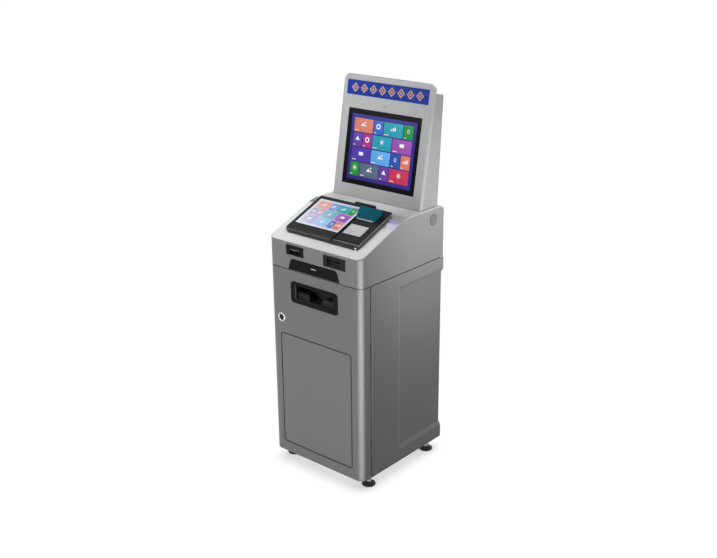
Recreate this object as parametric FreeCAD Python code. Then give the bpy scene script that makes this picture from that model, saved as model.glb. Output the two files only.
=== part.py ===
import FreeCAD, Part
import math
import os
from FreeCAD import Vector, Placement, Rotation

# A free-standing self-service kiosk: a steel cabinet on levelling feet, a head with a sloped desk,
# a desk terminal with its own touch screen and slip printer, and a tilted monitor behind it.
# Millimetres. X to the right, -Y to the front, +Z up. The origin is on the floor, under the middle
# of the cabinet.

os.makedirs("parts", exist_ok=True)

# Cabinet
width = 490.0            # across the side panels
depth = 520.0            # front of the door to the rear edges
floor_gap = 52.0         # floor to the underside
cabinet_top = 881.0      # upper edge of the door and the side panels
seam = 3.0               # shadow gap under the head
corner_r = 32.0          # upright front corners
sheet = 1.5              # cabinet sheet
frame_sheet = 2.0        # frames, base pan and deck
fit_gap = 0.3            # between pieces that lie side by side
run_gap = 0.05           # radial, pin in bore

# Front door
door_depth = 52.5
groove = 4.0             # upright gap between the door and a side panel
panel_margin = 58.0      # grooved lower panel, in from the side face
panel_low = 101.0
panel_high = 596.0
panel_gap = 4.0
panel_r = 10.0
panel_step = 4.5         # depth of the ledge behind the panel
ledge_w = 16.0
lock_in = 62.0           # lock, in from the left side face
lock_z = 666.0
lock_ring_r = 19.0
lock_core_r = 13.0
lock_cam_len = 46.0
lock_cam_back = 24.0     # cam behind the door's face
keeper_in = 4.0
keeper_lap = 5.0         # how far the cam reaches in behind the lip
keeper_play = 2.0
keeper_half = 14.0

# Hinges, one pattern for both doors
hinge_pin_r = 3.0
hinge_knuckle_r = 5.5
hinge_knuckle_h = 22.0
hinge_leaf_t = 4.0
door_axis_in = 8.0       # front door: axis inside the side face
door_axis_back = 5.5     # front door: axis in front of the door's rear edge
rear_axis_in = 6.0       # rear door: axis inside the hinge side and its rim
rear_knuckle_r = 4.2
rear_pin_r = 2.5

# Side panels' pressed relief
relief_start = 227.0     # behind the door's face
relief_low = 106.0
relief_high = 829.0
relief_depth = 11.0
relief_ramp_low = 20.0
relief_ramp_high = 17.0
relief_ramp_front = 20.0

# Frames inside the cabinet
frame_back = 3.5         # front frame behind the side panels' front edge
frame_bar = 38.0
frame_depth = 20.0
frame_low = 26.0         # bar height of the front frame's sill and head
rear_door_margin = 23.0  # in from the side face
rear_door_low = 114.0
rear_door_high = 822.0
rear_door_depth = 14.0
rear_lip = 3.0           # rear frame behind the rear door's rim
rear_lap = 24.0          # how far the rear frame reaches in behind the door
pan_rim = 25.0

# Output tray in the door
tray_half = 125.0
tray_low = 747.0
tray_high = 837.0
tray_r = 15.0
tray_proud = 3.0
tray_mouth_half = 98.0
tray_mouth_low = 768.0
tray_mouth_high = 822.0
tray_wall = 2.5
tray_cutout_half = 32.0
tray_ledge_rise = 22.0
tray_ledge_depth = 14.0
tray_ledge_cap = 2.0      # top of the ledges, over their front edge
tray_ledge_r = 18.0       # round shoulder beside the finger gap
tray_bevel = 5.0          # slope round the mouth

# Head
head_sill = 998.0        # height at which the slope meets the front face
slope_deg = 21.4
head_top = 1101.0
head_wall = 2.5
head_flange = 12.0
crest_r = 240.0          # long round between slope and top
rear_edge_r = 24.0
head_edge_r = 6.0
cap_back = 73.0          # in front of the rear face
cap_z = 1055.0
cap_r = 24.0
cap_t = 2.0
vent_low = 905.0
vent_high = 1065.0
vent_margin = 45.0       # in from the side face

# Readers in the head's front face
reader_x = -98.5
reader_half = 46.5
reader_low = 946.0
reader_high = 986.0
dip_x = 109.5
dip_half = 56.5
dip_low = 939.0
dip_high = 985.0
bezel_proud = 2.0
bezel_t = 9.0
card_slot_half = 29.0
card_slot_h = 6.0
card_slot_drop = 8.0     # slot below the bezel's middle
reader_len = 120.0
reader_body_half = 42.0
reader_body_play = 2.0   # body below the bezel's upper edge
reader_end = 20.0        # closed end behind the slot
dip_body_half = 50.0
dip_body_t = 4.0         # the dip reader's bezel is this much thicker

# Document mouth at the foot of the head
mouth_half = 136.5
mouth_top_half = 121.0
mouth_top = 931.0
mouth_r = 18.0
flap_low_half = 124.0
flap_top_half = 112.0
flap_low = 889.0
flap_top = 922.0
flap_t = 4.0
flap_pin_r = 1.2
flap_gap = 1.0
throat_half = 108.0
throat_low = 894.0
throat_high = 914.0
feeder_len = 220.0       # from the door's face

# Hatch in the deck, under the head's cable way
hatch_half = 150.0
hatch_len = 180.0
hatch_end = 60.0         # in front of the rear face

# Desk terminal, in the slope's own frame: u across, v up the slope, w off the slope
case_left = -195.0
case_right = 181.0
case_rear = 290.0
case_front_left = 57.0
case_front_right = 55.0
case_step = 28.0         # where the left slab's front ends
case_t = 8.0
tablet_right = 52.0
tablet_t = 8.0
tablet_cut_r = 22.0
screen_left = -177.5
screen_right = 49.0
screen_low = 102.0
screen_high = 270.0
screen_proud = 0.5
screen_t = 3.0
screen_r = 2.0
skirt_front = 256.0      # where the case starts to reach down past the desk's bend
skirt_drop = 12.0
cover_t = 4.0
cover_front = 76.0
pad_u = 108.5
pad_v = 143.0
pad_w = 89.0
pad_h = 60.0
trim_t = 1.2
button_u = 175.0
button_r = 3.2
button_travel = 1.0

# Slip printer on the terminal
slip_left = 53.0
slip_right = 157.0
slip_front = 203.0
slip_rear = 272.0
slip_base_t = 3.0
lid_front = 210.0
lid_crest = 249.0
lid_crest_w = 41.0
lid_crest_len = 8.0
lid_wall = 2.5
lid_axis_v = 262.0
lid_axis_w = 25.0
lid_heel = 7.0           # back of the lid behind its axis
lug_half = 3.2
lid_pin_r = 1.5
platen_v = 227.0
platen_w = 18.0
platen_r = 3.5
roll_v = 242.5
roll_w = 1.5
roll_r = 16.0
roll_half = 40.0
spindle_r = 6.0
bucket_wall = 2.0

# Monitor, in its own frame: u across, v up the face, d behind the face
monitor_back = 143.5     # foot of the monitor's face, in front of the rear face
monitor_tilt = 10.0
monitor_margin = 11.5    # in from the cabinet's side face
monitor_h = 500.0
plate_t = 12.0
plate_r = 28.0
plate_edge_r = 9.0
shell_inset = 1.5
shell_high = 462.5
shell_wall = 2.0
shell_back_low = 32.0    # back of the shell at the foot, in front of the rear face
shell_back_high = 2.5    # the same at the top
glass_half = 189.0
glass_low = 53.0
glass_high = 363.0
active_half = 169.0
active_low = 73.0
active_high = 343.0
sign_margin = 24.0       # in from the plate's side
sign_low = 417.0
sign_high = 476.0
lens_v = 386.0
lens_r = 3.0
cover_half = 185.0
cover_low = 1150.0
cover_high = 1490.0

# Inside the cabinet
shelf_z = 600.0
shelf_lip = 18.0
shelf_gap = 1.0
printer_half = 190.0
printer_h = 245.0
printer_end = 70.0       # in front of the rear face
exit_roller_r = 7.0
pc_in = 50.0             # in from the left side face
pc_gap = 30.0            # to the power unit
pc_start = 130.0         # behind the door's face
pc_end = 55.0            # in front of the rear face
pc_low = 66.0
pc_high = 190.0
fan_r = 40.0
fan_in = 65.0            # fan's axis in the computer's case
power_w = 105.0
power_len = 114.0
power_h = 110.0
power_end = 6.0          # in front of the rear frame
fin_pitch = 12.0
fin_t = 4.0
fin_h = 8.0
inlet_x = -150.0
switch_x = -100.0
socket_z = 84.0
inlet_room = 17.0        # rear frame's cut-out, past the middles of socket and switch
inlet_room_half = 19.0
inlet_lap = 7.0          # flange past the cut-out
rocker_r = 9.0

# Feet
foot_in = 35.0           # in from the side face
foot_start = 78.0        # front feet, behind the door's face
foot_end = 56.0          # rear feet, in front of the rear face
pad_r = 28.5
foot_pad_t = 16.0
stem_r = 6.0
stem_top = 74.0
nut_r = 11.0
nut_h = 10.0

# Screws on the rear covers
screw_head_r = 4.0
screw_head_t = 2.2
screw_r = 2.0
screw_len = 5.0

# Derived planes
half = width / 2
front = -depth / 2
rear = depth / 2
head_low = cabinet_top + seam
door_back = front + door_depth
panel_front = door_back + groove
frame_face = panel_front + frame_back
deck_low = head_low - frame_sheet
inner = half - sheet
shell_in = half - head_wall
slope = math.radians(slope_deg)
frame_half = half - sheet - frame_sheet - 0.5
rear_frame_back = rear - rear_door_depth - rear_lip
rear_frame_front = rear_frame_back - frame_sheet
relief_inner = half - relief_depth - sheet
pan_top = floor_gap + frame_sheet
panel_half = half - panel_margin
lock_x = lock_in - half
relief_front = front + relief_start
rear_door_half = half - rear_door_margin
cap_y = rear - cap_back
vent_half = half - vent_margin
monitor_y = rear - monitor_back
monitor_half = half - monitor_margin
shell_rear_low = rear - shell_back_low
shell_rear_high = rear - shell_back_high
sign_half = monitor_half - sign_margin
foot_x = half - foot_in
foot_front = front + foot_start
foot_rear = rear - foot_end
printer_back = rear - printer_end
power_right = foot_x - nut_r - 9
power_left = power_right - power_w
pc_left = pc_in - half
pc_right = power_left - pc_gap
pc_front = front + pc_start
pc_rear = rear - pc_end
fan_x = pc_left + fan_in


def box(x0, x1, y0, y1, z0, z1):
    return Part.makeBox(x1 - x0, y1 - y0, z1 - z0, Vector(x0, y0, z0))


def cylinder(x, y, z, r, length, direction):
    return Part.makeCylinder(r, length, Vector(x, y, z), Vector(*direction))


def fuse(shapes):
    shapes = list(shapes)
    out = shapes[0]
    for other in shapes[1:]:
        out = out.fuse(other)
    return out.removeSplitter()


def cut(shape, tools):
    for tool in tools:
        shape = shape.cut(tool)
    return shape.removeSplitter()


def face_of(points):
    """A flat face from points; a point with a fourth value gets a round corner of that radius."""
    plain = [Vector(*p[:3]) for p in points]
    radii = [p[3] if len(p) > 3 else 0.0 for p in points]
    starts, ends, corners = [], [], []
    count = len(plain)
    for i, here in enumerate(plain):
        r = radii[i]
        if r <= 0:
            starts.append(here)
            ends.append(here)
            corners.append(None)
            continue
        a = (plain[i - 1] - here).normalize()
        b = (plain[(i + 1) % count] - here).normalize()
        angle = a.getAngle(b)
        reach = r / math.tan(angle / 2)
        middle = (a + b).normalize() * (r / math.sin(angle / 2) - r)
        starts.append(here + a * reach)
        ends.append(here + b * reach)
        corners.append(here + middle)
    edges = []
    for i in range(count):
        if corners[i] is not None:
            edges.append(Part.Arc(starts[i], corners[i], ends[i]).toShape())
        nxt = starts[(i + 1) % count]
        if ends[i].distanceToPoint(nxt) > 1e-6:
            edges.append(Part.makeLine(ends[i], nxt))
    return Part.Face(Part.Wire(edges))


def prism(points, direction):
    return face_of(points).extrude(Vector(*direction))


def plan(points, z0, z1):
    """Upright prism on a plan outline of (x, y[, r]) points."""
    outline = [(p[0], p[1], z0) + tuple(p[2:]) for p in points]
    return prism(outline, (0, 0, z1 - z0))


def front_plate(x0, x1, z0, z1, y0, y1, r=0.0):
    """A plate that faces the front, with round corners."""
    outline = [(x0, y0, z0, r), (x1, y0, z0, r), (x1, y0, z1, r), (x0, y0, z1, r)]
    return prism(outline, (0, y1 - y0, 0))


def profile(points, x0, x1):
    """A side outline of (y, z[, r]) points, pulled along X."""
    outline = [(x0, p[0], p[1]) + tuple(p[2:]) for p in points]
    return prism(outline, (x1 - x0, 0, 0))


def footprint(inset, back, z0, z1):
    """The cabinet's plan with its two round front corners."""
    r = corner_r - inset
    x = half - inset
    y = front + inset
    return plan([(-x, y, r), (x, y, r), (x, back), (-x, back)], z0, z1)


def on_slope(shape):
    """Place a shape drawn as (u, v, w) on the sloped desk."""
    out = shape.copy()
    out.Placement = Placement(Vector(0, front, head_sill), Rotation(Vector(1, 0, 0), slope_deg))
    return out.copy()


def on_face(shape):
    """Place a shape drawn as (u, d, v) on the leaning monitor face and trim it at the desk."""
    out = shape.copy()
    out.Placement = Placement(Vector(0, monitor_y, head_top), Rotation(Vector(1, 0, 0), -monitor_tilt))
    below = box(-width, width, -depth, depth, head_top - depth, head_top)
    return out.copy().cut(below)


def save(name, shape):
    solids = shape.Solids
    out = solids[0] if len(solids) == 1 else Part.Compound(solids)
    out.exportStep("parts/" + name + ".step")


def mirror_x(shape):
    return shape.mirror(Vector(0, 0, 0), Vector(1, 0, 0))


# Cabinet shell


def relief(shift):
    """The pressed-in volume of the right side panel, moved inwards by shift."""
    x1 = half - shift
    x0 = x1 - relief_depth
    wide = [(x1, relief_front, relief_low), (x1, rear + 5, relief_low),
            (x1, rear + 5, relief_high), (x1, relief_front, relief_high)]
    deep_y = relief_front + relief_ramp_front
    low = relief_low + relief_ramp_low
    high = relief_high - relief_ramp_high
    deep = [(x0, deep_y, low), (x0, rear + 5, low), (x0, rear + 5, high), (x0, deep_y, high)]
    wires = [Part.makePolygon([Vector(*p) for p in ring + ring[:1]]) for ring in (wide, deep)]
    return Part.makeLoft(wires, True, True)


def side_panel():
    plate = box(inner, half, panel_front, rear, floor_gap, cabinet_top)
    room = box(0, half, panel_front, rear, floor_gap, cabinet_top)
    backing = relief(sheet).common(room)
    return cut(plate.fuse(backing), [relief(0)])


def base_pan():
    y0 = panel_front + 1.5
    outer = box(-inner, inner, y0, rear - sheet, floor_gap, floor_gap + pan_rim)
    room = box(-inner + frame_sheet, inner - frame_sheet, y0 + frame_sheet,
               rear - sheet - frame_sheet, pan_top, floor_gap + pan_rim + 1)
    nuts = [hexagon(x, y, pan_top, nut_r, nut_h) for x, y in foot_places()]
    bores = [cylinder(x, y, floor_gap - 1, stem_r + run_gap, frame_sheet + nut_h + 2, (0, 0, 1))
             for x, y in foot_places()]
    return cut(fuse([cut(outer, [room])] + nuts), bores)


def foot_places():
    return [(x, y) for y in (foot_front, foot_rear) for x in (-foot_x, foot_x)]


def front_frame():
    low, high = pan_top, deck_low
    open_x = frame_half - frame_bar
    open_low = low + frame_low
    open_high = high - frame_low
    bar = box(-frame_half, frame_half, frame_face, frame_face + frame_depth, low, high)
    hole = box(-open_x, open_x, frame_face - 1, frame_face + frame_depth + 1, open_low, open_high)
    groove_room = box(-frame_half - 1, frame_half + 1, frame_face + frame_sheet,
                      frame_face + frame_depth + 1, low + frame_sheet, high - frame_sheet)
    web = box(-open_x - frame_sheet, open_x + frame_sheet, frame_face, frame_face + frame_depth,
              open_low - frame_sheet, open_high + frame_sheet)
    return cut(bar.cut(groove_room).fuse(web), [hole] + foot_notches())


def foot_notches():
    return [cylinder(x, y, pan_top - 1, nut_r + 1.5, stem_top - pan_top + 3, (0, 0, 1))
            for x, y in foot_places()]


def cam_front():
    return front + lock_cam_back


def lock_keeper():
    """A folded bracket on the front frame: the lock's cam turns in behind its lip."""
    x0 = -inner + keeper_in
    x1 = lock_x - lock_cam_len + keeper_lap
    y0 = cam_front() - frame_sheet - keeper_play
    low, high = lock_z - keeper_half, lock_z + keeper_half
    web = box(x0, x0 + frame_sheet, y0, frame_face, low, high)
    lip = box(x0, x1, y0, y0 + frame_sheet, low, high)
    flange = box(x0, x1, frame_face - frame_sheet, frame_face, low, high)
    return fuse([web, lip, flange])


def rear_frame():
    low, high = pan_top, deck_low
    open_x = rear_door_half - rear_lap
    plate = box(-frame_half, frame_half, rear_frame_front, rear_frame_back, low, high)
    hole = box(-open_x, open_x, rear_frame_front - 1, rear_frame_back + 1,
               rear_door_low + rear_lap - 8, rear_door_high - rear_lap + 8)
    side_relief = relief(sheet + fit_gap + 0.2)
    inlet_hole = front_plate(inlet_x - inlet_room, switch_x + inlet_room, socket_z - inlet_room_half,
                             socket_z + inlet_room_half, rear_frame_front - 1, rear_frame_back + 1, 3)
    return cut(plate, [hole, side_relief, mirror_x(side_relief), inlet_hole])


def top_deck():
    plate = footprint(seam, rear - seam, deck_low, head_low)
    y1 = rear - hatch_end
    hatch = box(-hatch_half, hatch_half, y1 - hatch_len, y1, deck_low - 1, head_low + 1)
    return cut(plate, [hatch])


def shelf():
    x = relief_inner - shelf_gap
    top = box(-x, x, frame_face + frame_depth, rear_frame_front, shelf_z - frame_sheet, shelf_z)
    lips = [box(-x, x, y, y + frame_sheet, shelf_z - shelf_lip, shelf_z)
            for y in (frame_face + frame_depth, rear_frame_front - frame_sheet)]
    return fuse([top] + lips)


# Hinges: a leaf with a standing pin on the frame, and a knuckle that drops over it on the door


def hinge_heights(low, high):
    span = high - low
    return [low + span * part for part in (0.1, 0.5, 0.9)]


front_hinges = hinge_heights(floor_gap + 60, cabinet_top - 60)
rear_hinges = hinge_heights(rear_door_low + 30, rear_door_high - 80)


def front_axis():
    return half - door_axis_in, door_back - door_axis_back


def rear_axis():
    return -rear_door_half + rear_axis_in, rear - rear_door_depth + rear_axis_in


def front_leaf(z):
    x, y = front_axis()
    elbow = x - hinge_knuckle_r - 9
    base = cylinder(x, y, z, hinge_knuckle_r, hinge_knuckle_h, (0, 0, 1))
    pin = cylinder(x, y, z, hinge_pin_r, 2 * hinge_knuckle_h, (0, 0, 1))
    arm = box(elbow, x, y - hinge_leaf_t / 2, y + hinge_leaf_t / 2, z, z + hinge_knuckle_h)
    foot = box(elbow, elbow + hinge_leaf_t, y - hinge_leaf_t / 2, frame_face, z, z + hinge_knuckle_h)
    return fuse([base, pin, arm, foot])


def front_knuckle(z):
    x, y = front_axis()
    z0 = z + hinge_knuckle_h + fit_gap
    barrel = cylinder(x, y, z0, hinge_knuckle_r, hinge_knuckle_h, (0, 0, 1))
    web = box(x, inner, y - hinge_knuckle_r, y, z0, z0 + hinge_knuckle_h)
    pad = box(inner - hinge_leaf_t, inner, front + corner_r + 3, y, z0, z0 + hinge_knuckle_h)
    bore = cylinder(x, y, z0 - 1, hinge_pin_r + run_gap, hinge_knuckle_h + 2, (0, 0, 1))
    return cut(fuse([barrel, web, pad]), [bore])


def rear_leaf(z):
    x, y = rear_axis()
    elbow = x + rear_knuckle_r + 10
    t = hinge_leaf_t * 0.75
    base = cylinder(x, y, z, rear_knuckle_r, hinge_knuckle_h, (0, 0, 1))
    pin = cylinder(x, y, z, rear_pin_r, 2 * hinge_knuckle_h, (0, 0, 1))
    arm = box(x, elbow, y - t / 2, y + t / 2, z, z + hinge_knuckle_h)
    foot = box(elbow - t, elbow, rear_frame_back, y + t / 2, z, z + hinge_knuckle_h)
    return fuse([base, pin, arm, foot])


def rear_knuckle(z):
    x, y = rear_axis()
    z0 = z + hinge_knuckle_h + fit_gap
    barrel = cylinder(x, y, z0, rear_knuckle_r, hinge_knuckle_h, (0, 0, 1))
    tab = box(x - 1.5, x + 1.5, y, rear - sheet, z0, z0 + hinge_knuckle_h)
    bore = cylinder(x, y, z0 - 1, rear_pin_r + run_gap, hinge_knuckle_h + 2, (0, 0, 1))
    return cut(barrel.fuse(tab), [bore])


# Front door


def front_door():
    outer = footprint(0, door_back, floor_gap, cabinet_top)
    hollow = footprint(sheet, door_back + 1, floor_gap + sheet, cabinet_top - sheet)
    skin = outer.cut(hollow)
    rim_half = panel_half + panel_gap
    low, high = panel_low - panel_gap, panel_high + panel_gap
    back = front + panel_step
    rim = front_plate(-rim_half - sheet, rim_half + sheet, low - sheet, high + sheet,
                      front + sheet / 2, back + sheet, panel_r + panel_gap + sheet)
    body = skin.fuse(rim)
    pocket = front_plate(-rim_half, rim_half, low, high, front - 1, back, panel_r + panel_gap)
    window = front_plate(-rim_half + ledge_w, rim_half - ledge_w, low + ledge_w, high - ledge_w,
                         front - 1, back + sheet + 1, panel_r)
    tray_hole = front_plate(-tray_half + 6, tray_half - 6, tray_low + 6, tray_high - 6,
                            front - 1, front + sheet + 1, tray_r - 6)
    lock_hole = cylinder(lock_x, front - 1, lock_z, lock_barrel_r() + fit_gap, sheet + 2, (0, 1, 0))
    knuckles = [front_knuckle(z) for z in front_hinges]
    return fuse([cut(body, [pocket, window, tray_hole, lock_hole])] + knuckles)


def lock_barrel_r():
    return lock_core_r + 2.0


def door_panel():
    back = front + panel_step
    outer = front_plate(-panel_half, panel_half, panel_low, panel_high, front, back, panel_r)
    room = front_plate(-panel_half + sheet, panel_half - sheet, panel_low + sheet,
                       panel_high - sheet, front + sheet, back + 1, panel_r - sheet)
    return cut(outer, [room])


def lock_ring():
    flange = cylinder(lock_x, front - tray_proud, lock_z, lock_ring_r, tray_proud, (0, 1, 0))
    barrel = cylinder(lock_x, front - tray_proud, lock_z, lock_barrel_r(), 22, (0, 1, 0))
    bore = cylinder(lock_x, front - tray_proud - 1, lock_z, lock_core_r + run_gap, 40, (0, 1, 0))
    body = cut(flange.fuse(barrel), [bore])
    edges = [e for e in body.Edges if abs(e.BoundBox.YMin - (front - tray_proud)) < 1e-4
             and e.BoundBox.YLength < 1e-4]
    return body.makeFillet(1.2, edges)


def lock_cylinder():
    core = cylinder(lock_x, front - 1, lock_z, lock_core_r, cam_front() - front + 1, (0, 1, 0))
    keyway = front_plate(lock_x - 1.5, lock_x + 1.5, lock_z - 6, lock_z + 6, front - 2, front + 8, 1)
    cam = box(lock_x - 9, lock_x + 9, cam_front(), cam_front() + 3, lock_z - 12, lock_z + lock_cam_len)
    nut = cylinder(lock_x, cam_front() + 3, lock_z, 8, 5, (0, 1, 0))
    return cut(fuse([core, cam, nut]), [keyway])


def tray_bezel():
    y0, y1 = front - tray_proud, front
    plate = front_plate(-tray_half, tray_half, tray_low, tray_high, y0, y1, tray_r)
    edges = [e for e in plate.Edges if abs(e.BoundBox.YMax - y0) < 1e-4]
    plate = plate.makeFillet(tray_proud * 0.6, edges)
    collar = front_plate(-tray_mouth_half - 14, tray_mouth_half + 14, tray_mouth_low - 12,
                         tray_mouth_high + 6, y1, front + 8, 8)
    mouth = front_plate(-tray_mouth_half, tray_mouth_half, tray_mouth_low, tray_mouth_high,
                        y0 - 1, front + 9, 3)
    rings = []
    for y, grow in ((y0 - 1, tray_bevel + 1), (y0 + tray_bevel, 0)):
        x, low, high = tray_mouth_half + grow, tray_mouth_low - grow, tray_mouth_high + grow
        corners = [(-x, low), (x, low), (x, high), (-x, high), (-x, low)]
        rings.append(Part.makePolygon([Vector(u, y, z) for u, z in corners]))
    return cut(plate.fuse(collar), [mouth, Part.makeLoft(rings, True, True)])


def tray_bin():
    """A pocket behind the mouth, with two ledges and a finger gap between them."""
    y0, y1 = front + 8, door_back - 2
    wall = tray_wall
    outer = box(-tray_mouth_half - wall, tray_mouth_half + wall, y0, y1,
                tray_mouth_low - wall, tray_mouth_high + wall)
    room = box(-tray_mouth_half, tray_mouth_half, y0 - 1, y1 + 1, tray_mouth_low, tray_mouth_high)
    shell = outer.cut(room)
    rise = tray_mouth_low + tray_ledge_rise
    ledges = []
    for side in (-1, 1):
        x0, x1 = sorted((side * tray_cutout_half, side * tray_mouth_half))
        ledge = profile([(y0, tray_mouth_low), (y0 + 4, rise, 3),
                         (y0 + tray_ledge_depth, rise + 6), (y1, rise + 10),
                         (y1, tray_mouth_low)], x0, x1)
        reach = tray_ledge_r + 1
        u0, u1 = sorted((side * tray_cutout_half, side * (tray_mouth_half + reach)))
        ledges.append(ledge.common(front_plate(u0, u1, tray_mouth_low - reach, rise + tray_ledge_cap,
                                               y0 - 1, y1 + 1, tray_ledge_r)))
    back = box(-tray_mouth_half, tray_mouth_half, y1 - wall, y1, tray_mouth_low, rise + 10)
    return fuse([shell, back] + ledges)


# Rear door


def rear_door():
    low, high = rear_door_low, rear_door_high
    y0 = rear - rear_door_depth
    outer = box(-rear_door_half, rear_door_half, y0, rear, low, high)
    room = box(-rear_door_half + sheet, rear_door_half - sheet, y0 - 1, rear - sheet,
               low + sheet, high - sheet)
    slots = []
    for base in (low + 60, high - 160):
        for k in range(8):
            z = base + k * 13
            slots.append(front_plate(-70, 70, z, z + 4, rear - sheet - 1, rear + 1, 1.9))
    hole = cylinder(rear_lock_x(), rear - sheet - 1, rear_lock_z(), 9.5 + fit_gap, sheet + 2, (0, 1, 0))
    return fuse([cut(outer, [room, hole] + slots)] + [rear_knuckle(z) for z in rear_hinges])


def rear_lock_x():
    return rear_door_half - rear_lap - 12.0


def rear_lock_z():
    return (rear_door_low + rear_door_high) / 2


def rear_lock_ring():
    x, z = rear_lock_x(), rear_lock_z()
    flange = cylinder(x, rear, z, 12, 2, (0, 1, 0))
    barrel = cylinder(x, rear - 8, z, 9.5, 10, (0, 1, 0))
    bore = cylinder(x, rear - 20, z, 7 + run_gap, 40, (0, 1, 0))
    return cut(flange.fuse(barrel), [bore])


def rear_lock_core():
    x, z = rear_lock_x(), rear_lock_z()
    cam_rear = rear_frame_front - 0.8
    core = cylinder(x, cam_rear, z, 7, rear + 1 - cam_rear, (0, 1, 0))
    keyway = front_plate(x - 1, x + 1, z - 4.5, z + 4.5, rear - 5, rear + 2, 0.8)
    cam = box(x - 5, x + 5, cam_rear - 2.5, cam_rear, z - 7, z + 24)
    return cut(core.fuse(cam), [keyway])


# Head


def head_profile(drop):
    """Side outline of the head, pulled in by drop on its outer faces."""
    run = (head_top - head_sill) / math.tan(slope)
    lift = drop / math.cos(slope)
    top = head_top - drop
    crest = front + run + drop * math.tan(slope / 2)
    y0, y1 = front + drop, rear - drop
    sill = head_sill - lift + drop * math.tan(slope)
    return [(y0, head_low - (5 if drop else 0)), (y0, sill), (crest, top, crest_r - drop),
            (y1, top, rear_edge_r - drop), (y1, head_low - (5 if drop else 0))]


def head_solid(inset, soften):
    wide = profile(head_profile(inset), -half + inset, half - inset)
    low = head_low - (5 if inset else 0)
    body = wide.common(footprint(inset, rear - inset, low, head_top + 1))
    if soften:
        edges = []
        for e in body.Edges:
            b = e.BoundBox
            upper = b.ZMin > head_sill - 1
            flat_end = b.YLength < 1e-4 and b.ZLength < 1e-4 and b.YMin > front + corner_r
            if upper and not flat_end:
                edges.append(e)
        body = body.makeFillet(head_edge_r, edges)
    return body


def head_openings():
    y0, y1 = front - 1, front + head_wall + 1
    g = fit_gap
    card = front_plate(reader_x - reader_half - g, reader_x + reader_half + g, reader_low - g,
                       reader_high + g, y0, y1, 1)
    dip = front_plate(dip_x - dip_half - g, dip_x + dip_half + g, dip_low - g, dip_high + g, y0, y1, 1)
    mouth = mouth_prism(g, y0, front + head_flange + head_wall + 2)
    vent = front_plate(-vent_half, vent_half, vent_low, vent_high, rear - head_wall - 1, rear + 1, 4)
    caps = cylinder(-half - 1, cap_y, cap_z, cap_r - 6, width + 2, (1, 0, 0))
    ways = box(-60, 60, monitor_y + 45, monitor_y + 85, head_top - head_wall - 1, head_top + 1)
    bucket = slip_bucket(0.8)
    return [card, dip, mouth, vent, caps, ways, on_slope(bucket)]


def head_shell():
    skin = head_solid(0, True).cut(head_solid(head_wall, False))
    flange_out = footprint(head_wall, rear - head_wall, head_low, head_low + head_wall)
    flange_in = footprint(head_wall + head_flange, rear - head_wall - head_flange, head_low - 1,
                          head_low + head_wall + 1)
    return cut(skin.fuse(flange_out.cut(flange_in)), head_openings())


def mouth_prism(grow, y0, y1):
    low = head_low - 1 if grow > 0 else head_low + 0.6
    top = mouth_top + grow
    lean = (mouth_half - mouth_top_half) / (mouth_top - head_low)
    foot = mouth_half + grow + lean * (head_low - low)
    outline = [(-foot, y0, low), (foot, y0, low), (mouth_top_half + grow, y0, top, mouth_r),
               (-mouth_top_half - grow, y0, top, mouth_r)]
    return prism(outline, (0, y1 - y0, 0))


def flap_outline(grow, y0, y1):
    low, top = flap_low - grow, flap_top + grow
    lean = (flap_low_half - flap_top_half) / (flap_top - flap_low)
    outline = [(-flap_low_half - grow * (1 + lean), y0, low, 2),
               (flap_low_half + grow * (1 + lean), y0, low, 2),
               (flap_top_half + grow * (1 - lean), y0, top, 3),
               (-flap_top_half - grow * (1 - lean), y0, top, 3)]
    return prism(outline, (0, y1 - y0, 0))


def flap_axis():
    return front + flap_t / 2, flap_top - flap_t / 2 - 0.2


def mouth_bezel():
    y0, y1 = front, front + 11
    body = mouth_prism(0, y0, y1)
    pocket = flap_outline(flap_gap, y0 - 1, front + flap_t + 1.5)
    throat = front_plate(-throat_half, throat_half, throat_low, throat_high, y0 - 1, y1 + 1, 2)
    y, z = flap_axis()
    reach = flap_top_half + 6.5
    pins = cylinder(-reach, y, z, flap_pin_r + run_gap, 2 * reach, (1, 0, 0))
    return cut(body, [pocket, throat, pins])


def mouth_flap():
    y, z = flap_axis()
    reach = flap_top_half + 5
    plate = flap_outline(0, front, front + flap_t)
    pins = cylinder(-reach, y, z, flap_pin_r, 2 * reach, (1, 0, 0))
    return fuse([plate, pins, indicator()])


def indicator():
    mid = (flap_low + flap_top) / 2 + 5
    return front_plate(-13, 13, mid - 1.8, mid + 1.8, front - 0.4, front + 1.5, 1.5)


def document_feeder():
    """Rollers' box behind the mouth, standing on the deck."""
    y0, y1 = front + head_flange + head_wall + 2.5, front + feeder_len
    outer = box(-throat_half - 14, throat_half + 14, y0, y1, head_low, mouth_top + 6)
    slot = box(-throat_half, throat_half, y0 - 1, y1 - 20, throat_low, throat_high)
    return cut(outer, [slot])


def card_reader_bezel():
    x0, x1 = reader_x - reader_half, reader_x + reader_half
    y0, y1 = front - bezel_proud, front + bezel_t
    mid = (reader_low + reader_high) / 2
    body = front_plate(x0, x1, reader_low, reader_high, y0, y1, 1.5)
    edges = [e for e in body.Edges if abs(e.BoundBox.YMax - y0) < 1e-4]
    body = body.makeFillet(1.0, edges)
    slot_z = mid - card_slot_drop
    funnel = profile([(y0 - 1, slot_z - 7), (y0 + 6, slot_z - card_slot_h / 2),
                      (y0 + 6, slot_z + card_slot_h / 2), (y0 - 1, slot_z + 7)],
                     reader_x - card_slot_half, reader_x + card_slot_half)
    slot = box(reader_x - card_slot_half, reader_x + card_slot_half, y0, y1 + 1,
               slot_z - card_slot_h / 2, slot_z + card_slot_h / 2)
    pips = [front_plate(px - 1.9, px + 1.9, mid + 3, mid + 6.2, y0 - 1, y0 + 1, 1.2)
            for px in pip_places()]
    return cut(body, [funnel, slot] + pips)


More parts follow.
